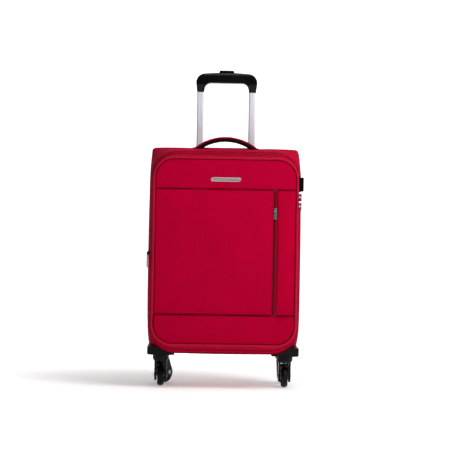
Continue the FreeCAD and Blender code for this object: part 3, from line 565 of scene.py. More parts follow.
back = panel("back_panel_cloth", rows, lambda z: -side_at(z, half_r, low_r, high_r, radius_r),
             lambda z: side_at(z, half_r, low_r, high_r, radius_r),
             lambda x, z: inside_gap(x, z, half_r, low_r, high_r, radius_r), y_seam, back_rise, 1,
             0.007)
puff(back)
dress(back, red_cloth, "shell", "red_fabric", "rear_panel")

# ==== Lining and packing straps ====
# A tub of thin charcoal lining cloth, tacked to the walls and hung across in front of the trolley
# tubes. It is cut loose, so it creases. Two webbing straps with side-release buckles lie on it.

lining_cloth = woven("charcoal lining cloth", "#3A3B40", "#2A2B2F", 0.0007, rough=0.55, sheen=0.15,
                     sheen_tint="#8A8C92", relief=0.2, shade=0.8)
tub_low, tub_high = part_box("body_lining")
tub_front, tub_back = tub_low.y, tub_high.y
tub_profile = [(y, -0.0042) for y in span(tub_front, tub_back, 0.010)]
tub_profile += [(y, -0.0052) for y in span(tub_back, tub_front, 0.010)]
tub = sweep("lining_walls", make_loop(0.010), tub_profile,
            swell=lambda f, w, y, row: -0.0009 * (1 + ripple(f[:, 0] + f[:, 1] + y, 4.4)) *
            math.sin(math.pi * min(max((y - tub_front) / (tub_back - tub_front), 0), 1)),
            edge=lambda y: 0.0)
subdivide(tub)
dress(tub, lining_cloth, "shell", "lining_cloth", "body_lining")


def round_length(y, out):
    """The length of the outline at a depth, moved out by out."""
    flat = ring(make_loop(0.010), y, out)[0]
    return float(np.linalg.norm(np.roll(flat, -1, 0) - flat, axis=1).sum())


round_length((tub_front + tub_back) / 2, -0.0047)

half_t, low_t, high_t, radius_t = outline(tub_back)
inset = 0.0044
half_t, low_t, high_t, radius_t = half_t - inset, low_t + inset, high_t - inset, radius_t - inset
rows = corner_rows(panel_rows(low_t, high_t, 0.010), high_t - radius_t, radius_t, 5)
rows = corner_rows(rows, low_t + radius_t, -radius_t, 5)
tub_wall = panel("lining_back", rows, lambda z: -side_at(z, half_t, low_t, high_t, radius_t),
                 lambda z: side_at(z, half_t, low_t, high_t, radius_t),
                 lambda x, z: inside_gap(x, z, half_t, low_t, high_t, radius_t), tub_back,
                 lambda x, z: 0.0011 + 0.0004 * ripple(x * 0.6 + z, 1.7), -1, 0.011)
puff(tub_wall)
dress(tub_wall, lining_cloth, "shell", "lining_cloth")

webbing_cloth = woven("black polyester webbing", "#2B2B2E", "#161618", 0.0012, rough=0.6, sheen=0.3,
                      sheen_tint="#77787C", relief=0.6)
straps_low, straps_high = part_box("packing_straps")
strap_half, webbing_thick = 0.0125, 0.0009
strap_cuts = [(-strap_half, 0.0)] + [(strap_half * k / 2, webbing_thick) for k in range(-2, 3)]
strap_cuts += [(strap_half, 0.0), (0, 0.0)]


def ribbon(name, line, cuts):
    """A flat band along a line of points. cuts is its section: rise along Z, then along Y."""
    verts = [(x, y + dy, z + dz) for x, y, z in line for dz, dy in cuts]
    size = len(cuts)
    faces = [(i * size + k, i * size + (k + 1) % size, (i + 1) * size + (k + 1) % size,
              (i + 1) * size + k) for i in range(len(line) - 1) for k in range(size)]
    faces += [tuple(range(size))[::-1], tuple((len(line) - 1) * size + k for k in range(size))]
    uvs = [(verts[v][0], verts[v][2]) for f in faces for v in f]
    return outward(mesh_object(name, verts, faces, uvs, np.zeros(len(verts))))


for n, z in enumerate((straps_low.z + 0.017, straps_high.z - 0.017)):
    face = straps_high.y - 0.0003
    xs = np.linspace(straps_low.x + 0.001, straps_high.x - 0.001, 90)
    bow = 0.0012 + 0.0009 * np.sin(xs * 41 + n * 2) ** 2
    line = [(x, face - b * 0.4, z + 0.0006 * math.sin(x * 23)) for x, b in zip(xs, bow)]
    strap = ribbon(f"packing_strap_{n + 1}", line, [(dz, -rise) for dz, rise in strap_cuts])
    dress(strap, webbing_cloth, "shell", "webbing", "packing_straps")

# ==== Moulded plastic ====
# Corner guards, bezel, grip, forks and buckles are injection-moulded black plastic with a fine
# spark-eroded texture: dull and even, with soft edges that catch a thin line of light.


def moulded(name, code, rough, grain, relief, edge_mm=0.8, spec=0.5, worn="#3A3A3D"):
    """A moulded plastic: a fine textured skin, duller in patches and paler on worn edges."""
    made, tree, bsdf = new_material(name)
    place = add(tree, "ShaderNodeTexCoord").outputs["Object"]
    fine = add(tree, "ShaderNodeTexNoise", {"Vector": place, "Scale": 1.0 / grain, "Detail": 2.0})
    broad = add(tree, "ShaderNodeTexNoise", {"Vector": place, "Scale": 30.0, "Detail": 5.0})
    soft = add(tree, "ShaderNodeBevel", {"Radius": edge_mm * 0.001}, samples=4)
    shape = add(tree, "ShaderNodeNewGeometry")
    turned = add(tree, "ShaderNodeVectorMath", {0: soft.outputs[0], 1: shape.outputs["Normal"]},
                 operation="DOT_PRODUCT")
    rub = add(tree, "ShaderNodeMapRange", {"Value": turned.outputs["Value"], "From Min": 0.985,
                                           "From Max": 0.80, "To Max": 0.55})
    patchy = add(tree, "ShaderNodeMath", {0: rub.outputs[0], 1: broad.outputs["Fac"]},
                 operation="MULTIPLY")
    colour = add(tree, "ShaderNodeMix", {0: patchy.outputs[0], 6: srgb(code), 7: srgb(worn)},
                 data_type="RGBA")
    tree.links.new(colour.outputs[2], bsdf.inputs["Base Color"])
    dull = add(tree, "ShaderNodeMapRange", {"Value": broad.outputs["Fac"], "From Min": 0.3,
                                            "From Max": 0.7, "To Min": rough - 0.05,
                                            "To Max": rough + 0.06})
    tree.links.new(dull.outputs[0], bsdf.inputs["Roughness"])
    bump = add(tree, "ShaderNodeBump", {"Height": fine.outputs["Fac"], "Strength": relief,
                                        "Distance": grain * 0.3, "Normal": soft.outputs[0]})
    tree.links.new(bump.outputs[0], bsdf.inputs["Normal"])
    bsdf.inputs["Specular IOR Level"].default_value = spec
    return made


def paint(material, *names):
    """Gives CAD nodes that are shown as they are their material."""
    for name in names:
        nodes[name].data.materials.clear()
        nodes[name].data.materials.append(material)
        for p in nodes[name].data.polygons:
            p.material_index = 0


# Polypropylene with a spark-eroded skin, 0.5 mm grain: even, dull, slightly grey on worn edges.
guard_plastic = moulded("textured black polypropylene", "#08070A", 0.42, 0.0006, 0.25, 1.2,
                        spec=0.16, worn="#121115")
# Nylon, smoother and a little glossier.
nylon = moulded("black nylon", "#060508", 0.30, 0.0008, 0.15, 0.9, spec=0.16, worn="#111014")
# Polished ABS cap and button.
abs_gloss = moulded("satin black ABS", "#070609", 0.24, 0.0012, 0.06, 0.6, spec=0.2, worn="#131216")
paint(guard_plastic, "corner_guards", "trolley_bezel", "rear_skids", "tube_bracket")
paint(nylon, "tube_collars", *(f"{c}_fork" for c in ("front_left", "front_right", "rear_left",
                                                    "rear_right")))
paint(abs_gloss, "lock_case", "lock_knob")

# A buckle's socket, its tongue and the tongue's two springs: place along X and Z, then size.
buckle_blocks = [((-0.0090, 0.0), (0.0225, 0.0075, 0.032)),
                 ((0.0115, 0.0), (0.0175, 0.0066, 0.026)),
                 ((0.0030, 0.0125), (0.012, 0.0052, 0.0040)),
                 ((0.0030, -0.0125), (0.012, 0.0052, 0.0040))]
for n, z in enumerate((straps_low.z + 0.017, straps_high.z - 0.017)):
    bm = bmesh.new()
    for (x, dz), size in buckle_blocks:
        block = bmesh.ops.create_cube(bm, size=1.0)["verts"]
        bmesh.ops.scale(bm, vec=size, verts=block)
        bmesh.ops.translate(bm, vec=(x, straps_high.y - 0.0046, z + dz), verts=block)
    buckle = from_bmesh(f"strap_buckle_{n + 1}", bm)
    edges = buckle.modifiers.new("edges", "BEVEL")
    edges.width, edges.segments = 0.0012, 3
    plain_mesh(buckle)
    dress(buckle, nylon, "shell", "black_plastic")

# ==== Boards ====
# The stiff sheet behind the back panel and the one behind the lid's front are grey polypropylene.

board_sheet = moulded("grey polypropylene sheet", "#4A4B4F", 0.55, 0.001, 0.2, 0.4, worn="#6A6B70")
paint(board_sheet, "back_board", "lid_board")

# ==== Zips ====
# Coil zips, sewn in with their backs outwards: two strips of dense red tape meet over rows of
# plastic coils that mesh. One runs round three sides of the lid, the other lets the case grow.

tape_cloth = woven("red zip tape", "#A80029", "#8C0020", 0.0009, rough=0.7, sheen=0.04,
                   sheen_tint="#D01040", relief=0.6, shade=0.5, gloss=0.06)
coil_plastic = moulded("dark red nylon coil", "#86001F", 0.45, 0.0004, 0.1, 0.1, spec=0.12,
                       worn="#900424")


def new_tree(name, **sockets):
    """An empty geometry tree with the named inputs, and its inputs' outlets."""
    tree = bpy.data.node_groups.new(name, "GeometryNodeTree")
    for key, kind in {"Geometry": "Geometry", **sockets, "Material": "Material"}.items():
        tree.interface.new_socket(key, in_out="INPUT", socket_type="NodeSocket" + kind)
    tree.interface.new_socket("Geometry", in_out="OUTPUT", socket_type="NodeSocketGeometry")
    return tree, add(tree, "NodeGroupInput").outputs


def finish_tree(tree, placed, material):
    """Makes the placed copies real, in one material and shaded smooth."""
    real = add(tree, "GeometryNodeRealizeInstances", {0: placed.outputs[0]})
    coloured = add(tree, "GeometryNodeSetMaterial", {"Geometry": real.outputs[0],
                                                     "Material": material})
    smooth = add(tree, "GeometryNodeSetShadeSmooth", {0: coloured.outputs[0]})
    add(tree, "NodeGroupOutput", {0: smooth.outputs[0]})
    return tree


def give_tree(made, tree, values):
    """Puts a tree on an object and sets its inputs by name."""
    maker = made.modifiers.new("repeat", "NODES")
    maker.node_group = tree
    for item in tree.interface.items_tree:
        if item.in_out == "INPUT" and item.name in values:
            maker[item.identifier] = values[item.name]


def repeat_tree(name, shape_across, align_pivot):
    """A tree that sets small rounded bars along a line: stitches run with it, teeth across it."""
    tree, given = new_tree(name, Spacing="Float", Long="Float", Wide="Float", Thick="Float",
                           Seed="Int")
    line = add(tree, "GeometryNodeResampleCurve", {"Curve": given["Geometry"],
                                                   "Length": given["Spacing"]}, mode="LENGTH")
    bar = add(tree, "GeometryNodeMeshUVSphere", {"Segments": 6, "Rings": 4, "Radius": 0.5})
    along = add(tree, "GeometryNodeInputTangent").outputs[0]
    turn = add(tree, "FunctionNodeAlignRotationToVector", {"Vector": along}, axis="X",
               pivot_axis=align_pivot)
    size = add(tree, "ShaderNodeCombineXYZ", {"X": given["Wide" if shape_across else "Long"],
                                              "Y": given["Long" if shape_across else "Wide"],
                                              "Z": given["Thick"]})
    uneven = add(tree, "FunctionNodeRandomValue", {"Seed": given["Seed"], 2: 0.9, 3: 1.08},
                 data_type="FLOAT")
    scale = add(tree, "ShaderNodeVectorMath", {0: size.outputs[0], "Scale": uneven.outputs[1]},
                operation="SCALE")
    placed = add(tree, "GeometryNodeInstanceOnPoints", {
        "Points": line.outputs[0], "Instance": bar.outputs[0], "Rotation": turn.outputs[0],
        "Scale": scale.outputs[0]})
    return finish_tree(tree, placed, given["Material"])


tooth_tree = repeat_tree("teeth along a zip", True, "Y")
stitch_tree = repeat_tree("stitches along a seam", False, "AUTO")


def run_along(name, lines, tree, spacing, long, wide, thick, material, body_name, slot, seed=1):
    """Bars along each line of points, as one plain mesh that rides on a body."""
    curve = bpy.data.curves.new(name, "CURVE")
    curve.dimensions = "3D"
    for points, closed in lines:
        spline = curve.splines.new("POLY")
        spline.points.add(len(points) - 1)
        spline.points.foreach_set("co", np.column_stack([points, np.ones(len(points))]).ravel())
        spline.use_cyclic_u = closed
    holder = bpy.data.objects.new(name + "_line", curve)
    bpy.context.scene.collection.objects.link(holder)
    give_tree(holder, tree, {"Spacing": spacing, "Long": long, "Wide": wide, "Thick": thick,
                             "Seed": seed, "Material": material})
    graph = bpy.context.evaluated_depsgraph_get()
    mesh = bpy.data.meshes.new_from_object(holder.evaluated_get(graph))
    mesh.name = name
    bpy.data.objects.remove(holder)
    made = bpy.data.objects.new(name, mesh)
    bpy.context.scene.collection.objects.link(made)
    return dress(made, material, body_name, slot)


def ring_line(y, out, step=0.004, shift=0.0):
    loop = make_loop(step, 16)
    flat, _ = ring(loop, y, out)
    if shift:
        ahead = np.roll(flat, -1, 0) - flat
        flat = flat + ahead / np.linalg.norm(ahead, axis=1)[:, None] * shift
    return np.column_stack([flat[:, 0], np.full(len(flat), y), flat[:, 1]])


def tape_ring(name, y0, y1, body_name, *stands_for):
    """One half of a closed zip's tape, set a little below the cloth on both sides of it."""
    # The edge mark paints the tape darker towards both its sides: painted shade.
    made = sweep(name, make_loop(0.006), wall_profile(y0, y1, 0.0012, 0.0034, 0.0003, 0.0009),
                 swell=lambda f, w, y, row: np.full(len(f), -0.0002),
                 edge=lambda y: float(1 - smooth_step(min(y - y0, y1 - y), 0.0, 0.0012)))
    return dress(made, tape_cloth, body_name, "zip_tape", *stands_for)


def zip_teeth(name, y, side, body_name):
    """The coil of one half, which reaches just over the zip's middle."""
    points = ring_line(y + side * 0.00055, -0.0001, shift=0.0008 * (side > 0))
    run_along(name, [(points, True)], tooth_tree, 0.0019, 0.0021, 0.0011, 0.0012, coil_plastic,
              body_name, "zip_tape")


zip_half = 0.003
y_frame, y_lid = y_expander - 2 * zip_half, y_zip - 2 * zip_half
y_gap, y_main = y_expander - zip_half, y_zip - zip_half
tape_ring("expander_tape_back", y_gap + 0.0003, y_expander, "shell", "expander_tape")
tape_ring("expander_tape_front", y_frame, y_gap - 0.0003, "zip_frame", "frame_tapes")
tape_ring("main_tape_back", y_main + 0.0003, y_zip, "zip_frame", "frame_tapes")
tape_ring("main_tape_front", y_lid, y_main - 0.0003, "lid")
zip_teeth("expander_coil_back", y_gap, 1, "shell")
zip_teeth("expander_coil_front", y_gap, -1, "zip_frame")
zip_teeth("main_coil_back", y_main, 1, "zip_frame")
zip_teeth("main_coil_front", y_main, -1, "lid")

# ==== Expander gusset ====
# A strip of the red cloth, folded away inside the expander zip. When that zip is opened the frame
# moves forward and the strip stretches flat between the two; here it is only laid folded.

fold_rows = [(y_frame - 0.0050, -0.0030), (y_frame - 0.0022, -0.0042)]
fold_rows += [(y, -0.0060) for y in span(y_frame - 0.0005, y_expander + 0.016, 0.0007)]
fold_rows += [(y, -0.0070) for y in span(y_expander + 0.016, y_frame - 0.0005, 0.0014)]
fold_rows += [(y_frame - 0.0026, -0.0056), (y_frame - 0.0050, -0.0044)]
# The edge mark paints the whole strip a little darker: painted shade, as it lies inside the zip.
gusset = sweep("expander_gusset", make_loop(0.008), fold_rows,
               swell=lambda f, w, y, row: 0.0002 * ripple(f[:, 0] + f[:, 1], 2.9),
               edge=lambda y: 0.2)
gusset.data.materials.append(red_cloth)
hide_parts("expander_fold")
round_length(y_expander, -0.0065)
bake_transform(gusset)

# ==== Zip frame ====
# A narrow padded band of the red cloth between the two zips. It carries the lock.

# The edge mark paints the band darker towards both zips: painted shade.
band = sweep("frame_band_cloth", body_loop, wall_profile(y_zip, y_frame, 0.002),
             swell=lambda f, w, y, row: 0.0009 * math.sin(math.pi * min(max(
                 (y - y_zip) / (y_frame - y_zip), 0), 1)) * np.ones(len(f)),
             edge=lambda y: float(1 - smooth_step(min(y - y_zip, y_frame - y), 0.0008, 0.004)))
subdivide(band)
lift_out(band, 0.00025, 6.1, 0.31)
dress(band, red_cloth, "zip_frame", "red_fabric", "frame_band")

# ==== Lid wall ====
# The lid's side wall, a short padded strip that tapers to the piping.

# The edge mark paints the wall darker towards the piping and the zip: painted shade.
lid_wall = sweep("lid_wall_cloth", body_loop, wall_profile(y_face, y_lid, 0.003),
                 swell=lambda f, w, y, row: 0.0016 * math.sin(math.pi * min(max(
                     (y - y_face) / (y_lid - y_face), 0), 1)) * (1 + 0.25 * ripple(
                         0.4 * (f[:, 0] + f[:, 1]), 3.7)),
                 edge=lambda y: float(1 - smooth_step(min(y - y_face, y_lid - y), 0.0008, 0.005)))
subdivide(lid_wall)
dress(lid_wall, red_cloth, "lid", "red_fabric", "lid_wall")
piping_ring("lid_piping_cord", y_face - 0.0023, -0.0008, 0.0023, "lid", "red_piping", "lid_piping")

# ==== Lid front ====
# Four padded panels of the red cloth are sewn together and to the piping: a yoke across the top, a
# big pocket that stands forward, a strip beside it and a band across the bottom. The pocket's edge
# folds over its zip. Every seam is topstitched and gathers the cloth a little.

half_f, low_f, high_f, radius_f = outline(y_face)
inset = 0.0031
frame_f = (half_f - inset, low_f + inset, high_f - inset, radius_f - inset)
seam_high, seam_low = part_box("yoke_panel")[0].z - 0.0003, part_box("lower_panel")[1].z + 0.0003
pocket_right, strip_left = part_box("pocket_panel")[1].x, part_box("strip_panel")[0].x


def lid_side(z):
    return side_at(z, *frame_f)


def lid_gap(x, z):
    return inside_gap(x, z, *frame_f)


def gather(made, gap_of, y_back, way, amount, seed, folds=None):
    """Small gathers along the seams, and soft folds across the middle, on a panel's front."""
    at = points_of(made)
    gap = gap_of(at[:, 0], at[:, 2])
    front = smooth_step((at[:, 1] - y_back) * way, 0.0015, 0.0035)
    near = np.exp(-((gap - 0.004) / 0.007) ** 2)
    move = amount * near * ripple(at[:, 0] + at[:, 2], seed)
    if folds is not None:
        move = move + folds(at[:, 0], at[:, 2]) * smooth_step(gap, 0.004, 0.03)
    at[:, 1] += way * front * move
    move_points(made, at)
    return made


def pocket_gap(x, z):
    return np.minimum.reduce([lid_gap(x, z), pocket_right - x, z - seam_low, seam_high - z])


def pocket_rise(x, z):
    across = smooth_step(x + frame_f[0], 0.0, 0.032)
    up = smooth_step(z - seam_low, -0.03, 0.085) * smooth_step(seam_high - z, 0.0, 0.022)
    crown = 0.0012 * np.sin(np.clip((x + 0.16) / 0.27, 0, 1) * math.pi)
    lean = 0.0030 * smooth_step(x, -0.10, 0.0)
    return 0.0036 + (0.0052 * across + crown + lean) * up


def pocket_folds(x, z):
    """Two tall shallow folds, and the slack of a cloth held along its top and bottom only."""
    tall = np.sin(np.clip((z - seam_low) / (seam_high - seam_low), 0, 1) * math.pi)
    first = np.exp(-((x - 0.030 - 0.05 * (z - 0.3)) / 0.016) ** 2)
    second = np.exp(-((x + 0.052 + 0.08 * (z - 0.3)) / 0.022) ** 2)
    return tall * (0.0011 * first - 0.0009 * second) + 0.0003 * np.sin(z * 46 + x * 17)


rows = panel_rows(seam_low, seam_high, 0.0055)
pocket = panel("pocket_cloth", rows, lambda z: -lid_side(z), lambda z: pocket_right, pocket_gap,
               y_face, pocket_rise, -1, 0.0055)
puff(pocket, 0.0022)
gather(pocket, pocket_gap, y_face, -1, 0.00045, 2.3, pocket_folds)
dress(pocket, red_cloth, "lid", "red_fabric", "pocket_panel")


def strip_gap(x, z):
    return np.minimum.reduce([lid_gap(x, z), z - seam_low, seam_high - z])


def strip_rise(x, z):
    across = np.clip((x - strip_left) / 0.045, 0, 1)
    return 0.0040 + 0.0008 * np.sin(across * math.pi)


strip = panel("strip_cloth", rows, lambda z: strip_left, lid_side, strip_gap, y_face, strip_rise,
              -1, 0.0055)
puff(strip, 0.0016)
gather(strip, strip_gap, y_face, -1, 0.0004, 4.9)
dress(strip, red_cloth, "lid", "red_fabric", "strip_panel")


def yoke_gap(x, z):
    return np.minimum(lid_gap(x, z), z - seam_high)


def yoke_rise(x, z):
    up = np.clip((z - seam_high) / 0.07, 0, 1)
    return 0.0044 + 0.0009 * np.sin(up * math.pi)


rows = corner_rows(panel_rows(seam_high, frame_f[2], 0.0055), frame_f[2] - frame_f[3],
                   frame_f[3], 11)
yoke = panel("yoke_cloth", rows, lambda z: -lid_side(z), lid_side, yoke_gap, y_face, yoke_rise,
             -1, 0.0055)
puff(yoke, 0.0018)
gather(yoke, yoke_gap, y_face, -1, 0.00045, 1.3)
dress(yoke, red_cloth, "lid", "red_fabric", "yoke_panel")


def lower_gap(x, z):
    return np.minimum(lid_gap(x, z), seam_low - z)


def lower_rise(x, z):
    """Thickest along the seam, with a hollow where the pocket's pull hangs when it is shut."""
    hollow = (np.exp(-((x - strip_left + 0.004) / 0.012) ** 2)
              * smooth_step(z, seam_low - 0.03, seam_low))
    return 0.0018 + 0.0078 * smooth_step(z, frame_f[1], seam_low) - 0.0052 * hollow


rows = corner_rows(panel_rows(frame_f[1], seam_low, 0.0055), frame_f[1] + frame_f[3],
                   -frame_f[3], 11)
lower = panel("lower_cloth", rows, lambda z: -lid_side(z), lid_side, lower_gap, y_face,
              lower_rise, -1, 0.0045)
puff(lower, 0.0014)
gather(lower, lower_gap, y_face, -1, 0.0005, 3.6)
dress(lower, red_cloth, "lid", "red_fabric", "lower_panel")

# The pocket's zip lies in the slot beside its fold.
tape_left = pocket_right + 0.0003
rows = span(seam_low + 0.001, seam_high - 0.001, 0.006)


def slot_gap(x, z):
    """The tape is painted in shade under the pocket's fold, less so away from it."""
    return 0.8 * (x - tape_left)


pocket_tape = panel("pocket_zip_tape", rows, lambda z: tape_left, lambda z: strip_left - 0.0004,
                    slot_gap, y_face, lambda x, z: 0.0008 + 0.28 * (x - tape_left), -1, 0.002,
                    0.0001)
puff(pocket_tape)
dress(pocket_tape, tape_cloth, "lid", "zip_tape", "lid_tapes")
middle_x = (tape_left + strip_left) / 2
heights = np.arange(seam_low + 0.002, seam_high - 0.002, 0.004)
for side in (-1, 1):
    line = np.column_stack([np.full(len(heights), middle_x + side * 0.0006),
                            np.full(len(heights), y_face - 0.0019),
                            heights + 0.0008 * (side > 0)])
    run_along("pocket_coil_" + ("left" if side < 0 else "right"), [(line, False)], tooth_tree,
              0.0019, 0.0012, 0.0011, 0.0021, coil_plastic, "lid", "zip_tape")

# ==== Lid lining ====
# The inside of the lid is faced with the charcoal lining cloth over thin foam. A flat pocket of the
# same cloth, bound along its top with webbing, is stitched across the lower part.

board_low, board_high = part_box("lid_board")
facing = (board_high.x - 0.002, board_low.z + 0.002, board_high.z - 0.002, radius_f - 0.008)
pocket_top = facing[1] + 0.62 * (facing[2] - facing[1])


def facing_side(z):
    return side_at(z, *facing)


def facing_gap(x, z):
    return inside_gap(x, z, *facing)


def facing_rows(z0, z1, both):
    made = corner_rows(panel_rows(z0, z1, 0.012), facing[1] + facing[3], -facing[3], 9)
    return corner_rows(made, facing[2] - facing[3], facing[3], 9) if both else made


for name, top_z, y_back, thick in (("lid_facing", facing[2], board_high.y, 0.0020),
                                   ("lid_pocket", pocket_top, board_high.y + 0.0018, 0.0012)):
    made = panel(name, facing_rows(facing[1], top_z, top_z == facing[2]), lambda z: -facing_side(z),
                 facing_side, lambda x, z: np.minimum(facing_gap(x, z), top_z - z + 0.001), y_back,
                 lambda x, z: thick + 0.0004 * ripple(x * 0.5 + z, 2.6), 1, 0.010, 0.0016)
    puff(made)
    dress(made, lining_cloth, "lid", "lining_cloth")
bound_half = facing_side(pocket_top) - 0.001
xs = np.linspace(-bound_half, bound_half, 50)
y_bound = board_high.y + 0.0032
cuts = [(-0.011, 0.0), (-0.011, 0.0009), (0.0, 0.0013), (0.003, 0.0009), (0.003, 0.0)]
bound = ribbon("lid_pocket_binding", [(x, y_bound, pocket_top) for x in xs], cuts)
dress(bound, webbing_cloth, "lid", "webbing")

# ==== Seams ====
# Every seam is topstitched with polyester thread, 3 mm stitches, 2.5 mm from the edge, and the four
# corners of the lid's front carry a short bar of close stitches.

thread = moulded("dyed polyester thread", "#9C0026", 0.6, 0.0003, 0.1, 0.1, spec=0.1,
                 worn="#A4002A")
skin_points = {made.name: BVHTree.FromObject(made, bpy.context.evaluated_depsgraph_get())
               for made in (pocket, strip, yoke, lower)}


def sewn_line(cloth, points, way, closed=False):
    """Points dropped onto a cloth along way, so that stitches lie on it."""
    laid = []
    for x, y, z in points:
        start = Vector((x, y, z)) - Vector(way) * 0.03
        hit = skin_points[cloth.name].ray_cast(start, Vector(way), 0.06)[0]
        if hit is not None:
            laid.append(tuple(hit - Vector(way) * 0.00015))
    return np.array(laid), closed


def stitch_run(name, cloth, lines, way, body_name, slot="red_fabric"):
    laid = [sewn_line(cloth, points, way) for points in lines]
    laid = [(points, closed) for points, closed in laid if len(points) > 1]
    run_along(name, laid, stitch_tree, 0.0034, 0.0026, 0.0007, 0.0006, thread, body_name, slot)


def straight(a, b, step=0.004):
    count = max(2, int(math.hypot(b[0] - a[0], b[1] - a[1]) / step))
    return [(a[0] + (b[0] - a[0]) * k / count, y_face - 0.01, a[1] + (b[1] - a[1]) * k / count)
            for k in range(count + 1)]


margin = 0.0028
wide_low, wide_high = lid_side(seam_low) - margin, lid_side(seam_high) - margin
stitch_run("yoke_stitches", yoke, [straight((-wide_high, seam_high + margin),
                                            (wide_high, seam_high + margin))], (0, 1, 0), "lid")
stitch_run("lower_stitches", lower, [straight((-wide_low, seam_low - margin),
                                              (wide_low, seam_low - margin))], (0, 1, 0), "lid")
stitch_run("pocket_stitches", pocket, [straight((pocket_right - margin, seam_low + 0.004),
                                                (pocket_right - margin, seam_high - 0.004))],
           (0, 1, 0), "lid")
stitch_run("strip_stitches", strip, [straight((strip_left + margin, seam_low + 0.004),
                                              (strip_left + margin, seam_high - 0.004))],
           (0, 1, 0), "lid")

# the bars at the corners, at 45 degrees, 10 mm in from the piping
for name, cloth, sx, sz in (("upper_left_dart", yoke, -1, 1), ("upper_right_dart", yoke, 1, 1),
                            ("lower_left_dart", lower, -1, -1), ("lower_right_dart", lower, 1, -1)):
    centre_z = (frame_f[2] - frame_f[3]) if sz > 0 else (frame_f[1] + frame_f[3])
    reach = (frame_f[3] - 0.0105) * math.sqrt(0.5)
    corner = np.array([sx * (frame_f[0] - frame_f[3] + reach), centre_z + sz * reach])
    way = np.array([sx, sz]) * 0.0035 * math.sqrt(0.5)
    side = np.array([sx, -sz]) * 0.0004
    lines = [straight(corner - way + side * n, corner + way + side * n, 0.001) for n in (-1, 0, 1)]
    laid = [sewn_line(cloth, points, (0, 1, 0)) for points in lines]
    run_along(name, laid, stitch_tree, 0.0011, 0.0012, 0.0007, 0.0007, thread, "lid", "red_fabric")

# ==== Nameplate ====
# A blank stamped zinc plate with rounded ends, satin, held on the yoke by two pins from behind.


def metal(name, code, rough, grain=0.0006, stretch=(1, 1, 1), relief=0.06, tarnish="#6E6F74",
          vary=0.06, bare=1.0):
    """A metal with fine lines along its grain. bare is below 1 where an oxide skin covers it."""
    made, tree, bsdf = new_material(name)
    place = add(tree, "ShaderNodeTexCoord").outputs["Object"]
    drawn = add(tree, "ShaderNodeMapping", {"Vector": place, "Scale": stretch})
    lines = add(tree, "ShaderNodeTexNoise", {"Vector": drawn.outputs[0], "Scale": 1.0 / grain,
                                             "Detail": 3.0})
    cloud = add(tree, "ShaderNodeTexNoise", {"Vector": place, "Scale": 60.0, "Detail": 4.0})
    colour = add(tree, "ShaderNodeMix", {0: 0.0, 6: srgb(code), 7: srgb(tarnish)}, data_type="RGBA")
    spots = add(tree, "ShaderNodeMapRange", {"Value": cloud.outputs["Fac"], "From Min": 0.5,
                                             "From Max": 0.85, "To Max": 0.35})
    tree.links.new(spots.outputs[0], colour.inputs[0])
    tree.links.new(colour.outputs[2], bsdf.inputs["Base Color"])
    dull = add(tree, "ShaderNodeMapRange", {"Value": lines.outputs["Fac"], "To Min": rough - vary,
                                            "To Max": rough + vary})
    tree.links.new(dull.outputs[0], bsdf.inputs["Roughness"])
    soft = add(tree, "ShaderNodeBevel", {"Radius": 0.0004}, samples=4)
    bump = add(tree, "ShaderNodeBump", {"Height": lines.outputs["Fac"], "Strength": relief,
                                        "Distance": grain * 0.3, "Normal": soft.outputs[0]})
    tree.links.new(bump.outputs[0], bsdf.inputs["Normal"])
    bsdf.inputs["Metallic"].default_value = bare
    return made


# Zinc alloy, die cast, tumbled and nickel plated: bright, with soft blurred reflections.
plated_zinc = metal("nickel-plated zinc", "#D8D8DA", 0.22, tarnish="#8A8A8E")
# The plate is brushed along its length.
brushed_plate = metal("brushed nickel plate", "#E6E4E2", 0.34, 0.0004, (0.04, 1, 1), 0.12)
plate_low, plate_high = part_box("nameplate")
plate_r = (plate_high.z - plate_low.z) / 2
bm = bmesh.new()
rim = []
for sx, a0 in ((1, -90), (-1, 90)):
    for k in range(17):
        a = math.radians(a0 + 180 * k / 16)
        rim.append((sx * ((plate_high.x - plate_low.x) / 2 - plate_r) + plate_r * math.cos(a),
                    plate_r * math.sin(a)))
middle_z = (plate_low.z + plate_high.z) / 2
hit = skin_points[yoke.name].ray_cast(Vector((0, -0.2, middle_z)), Vector((0, 1, 0)), 0.3)[0]
plate_back = hit.y + 0.0004
rings = [(plate_back, 1.0), (plate_back - 0.0011, 1.0), (plate_back - 0.0014, 0.94),
         (plate_back - 0.00115, 0.86), (plate_back - 0.00115, 0.80)]
loops = []
for y, k in rings:
    shrink = plate_r * (1 - k)
    loops.append([bm.verts.new((x - math.copysign(min(shrink, abs(x)), x), y,
                                middle_z + z * k)) for x, z in rim])
for a, b in zip(loops, loops[1:]):
    for k in range(len(rim)):
        m = (k + 1) % len(rim)
        bm.faces.new((a[k], a[m], b[m], b[k]))
bm.faces.new(loops[-1])
bm.faces.new(loops[0][::-1])
bmesh.ops.recalc_face_normals(bm, faces=bm.faces)
plate = from_bmesh("nameplate_blank", bm)
dress(plate, brushed_plate, "lid", "zinc", "nameplate")

# ==== Sliders and pulls ====
# Die-cast zinc sliders run on the coils. Each pull is a flat tag that swings on the slider's bail.
# The expander's is the long one, coated grey so that it isn't taken for a main pull.
coated_zinc = metal("grey-lacquered zinc", "#343438", 0.35, tarnish="#242428")
paint(plated_zinc, "lower_slider", "lower_pull", "upper_slider", "upper_pull", "pocket_slider",
      "pocket_pull")
paint(coated_zinc, "expander_slider", "expander_pull")

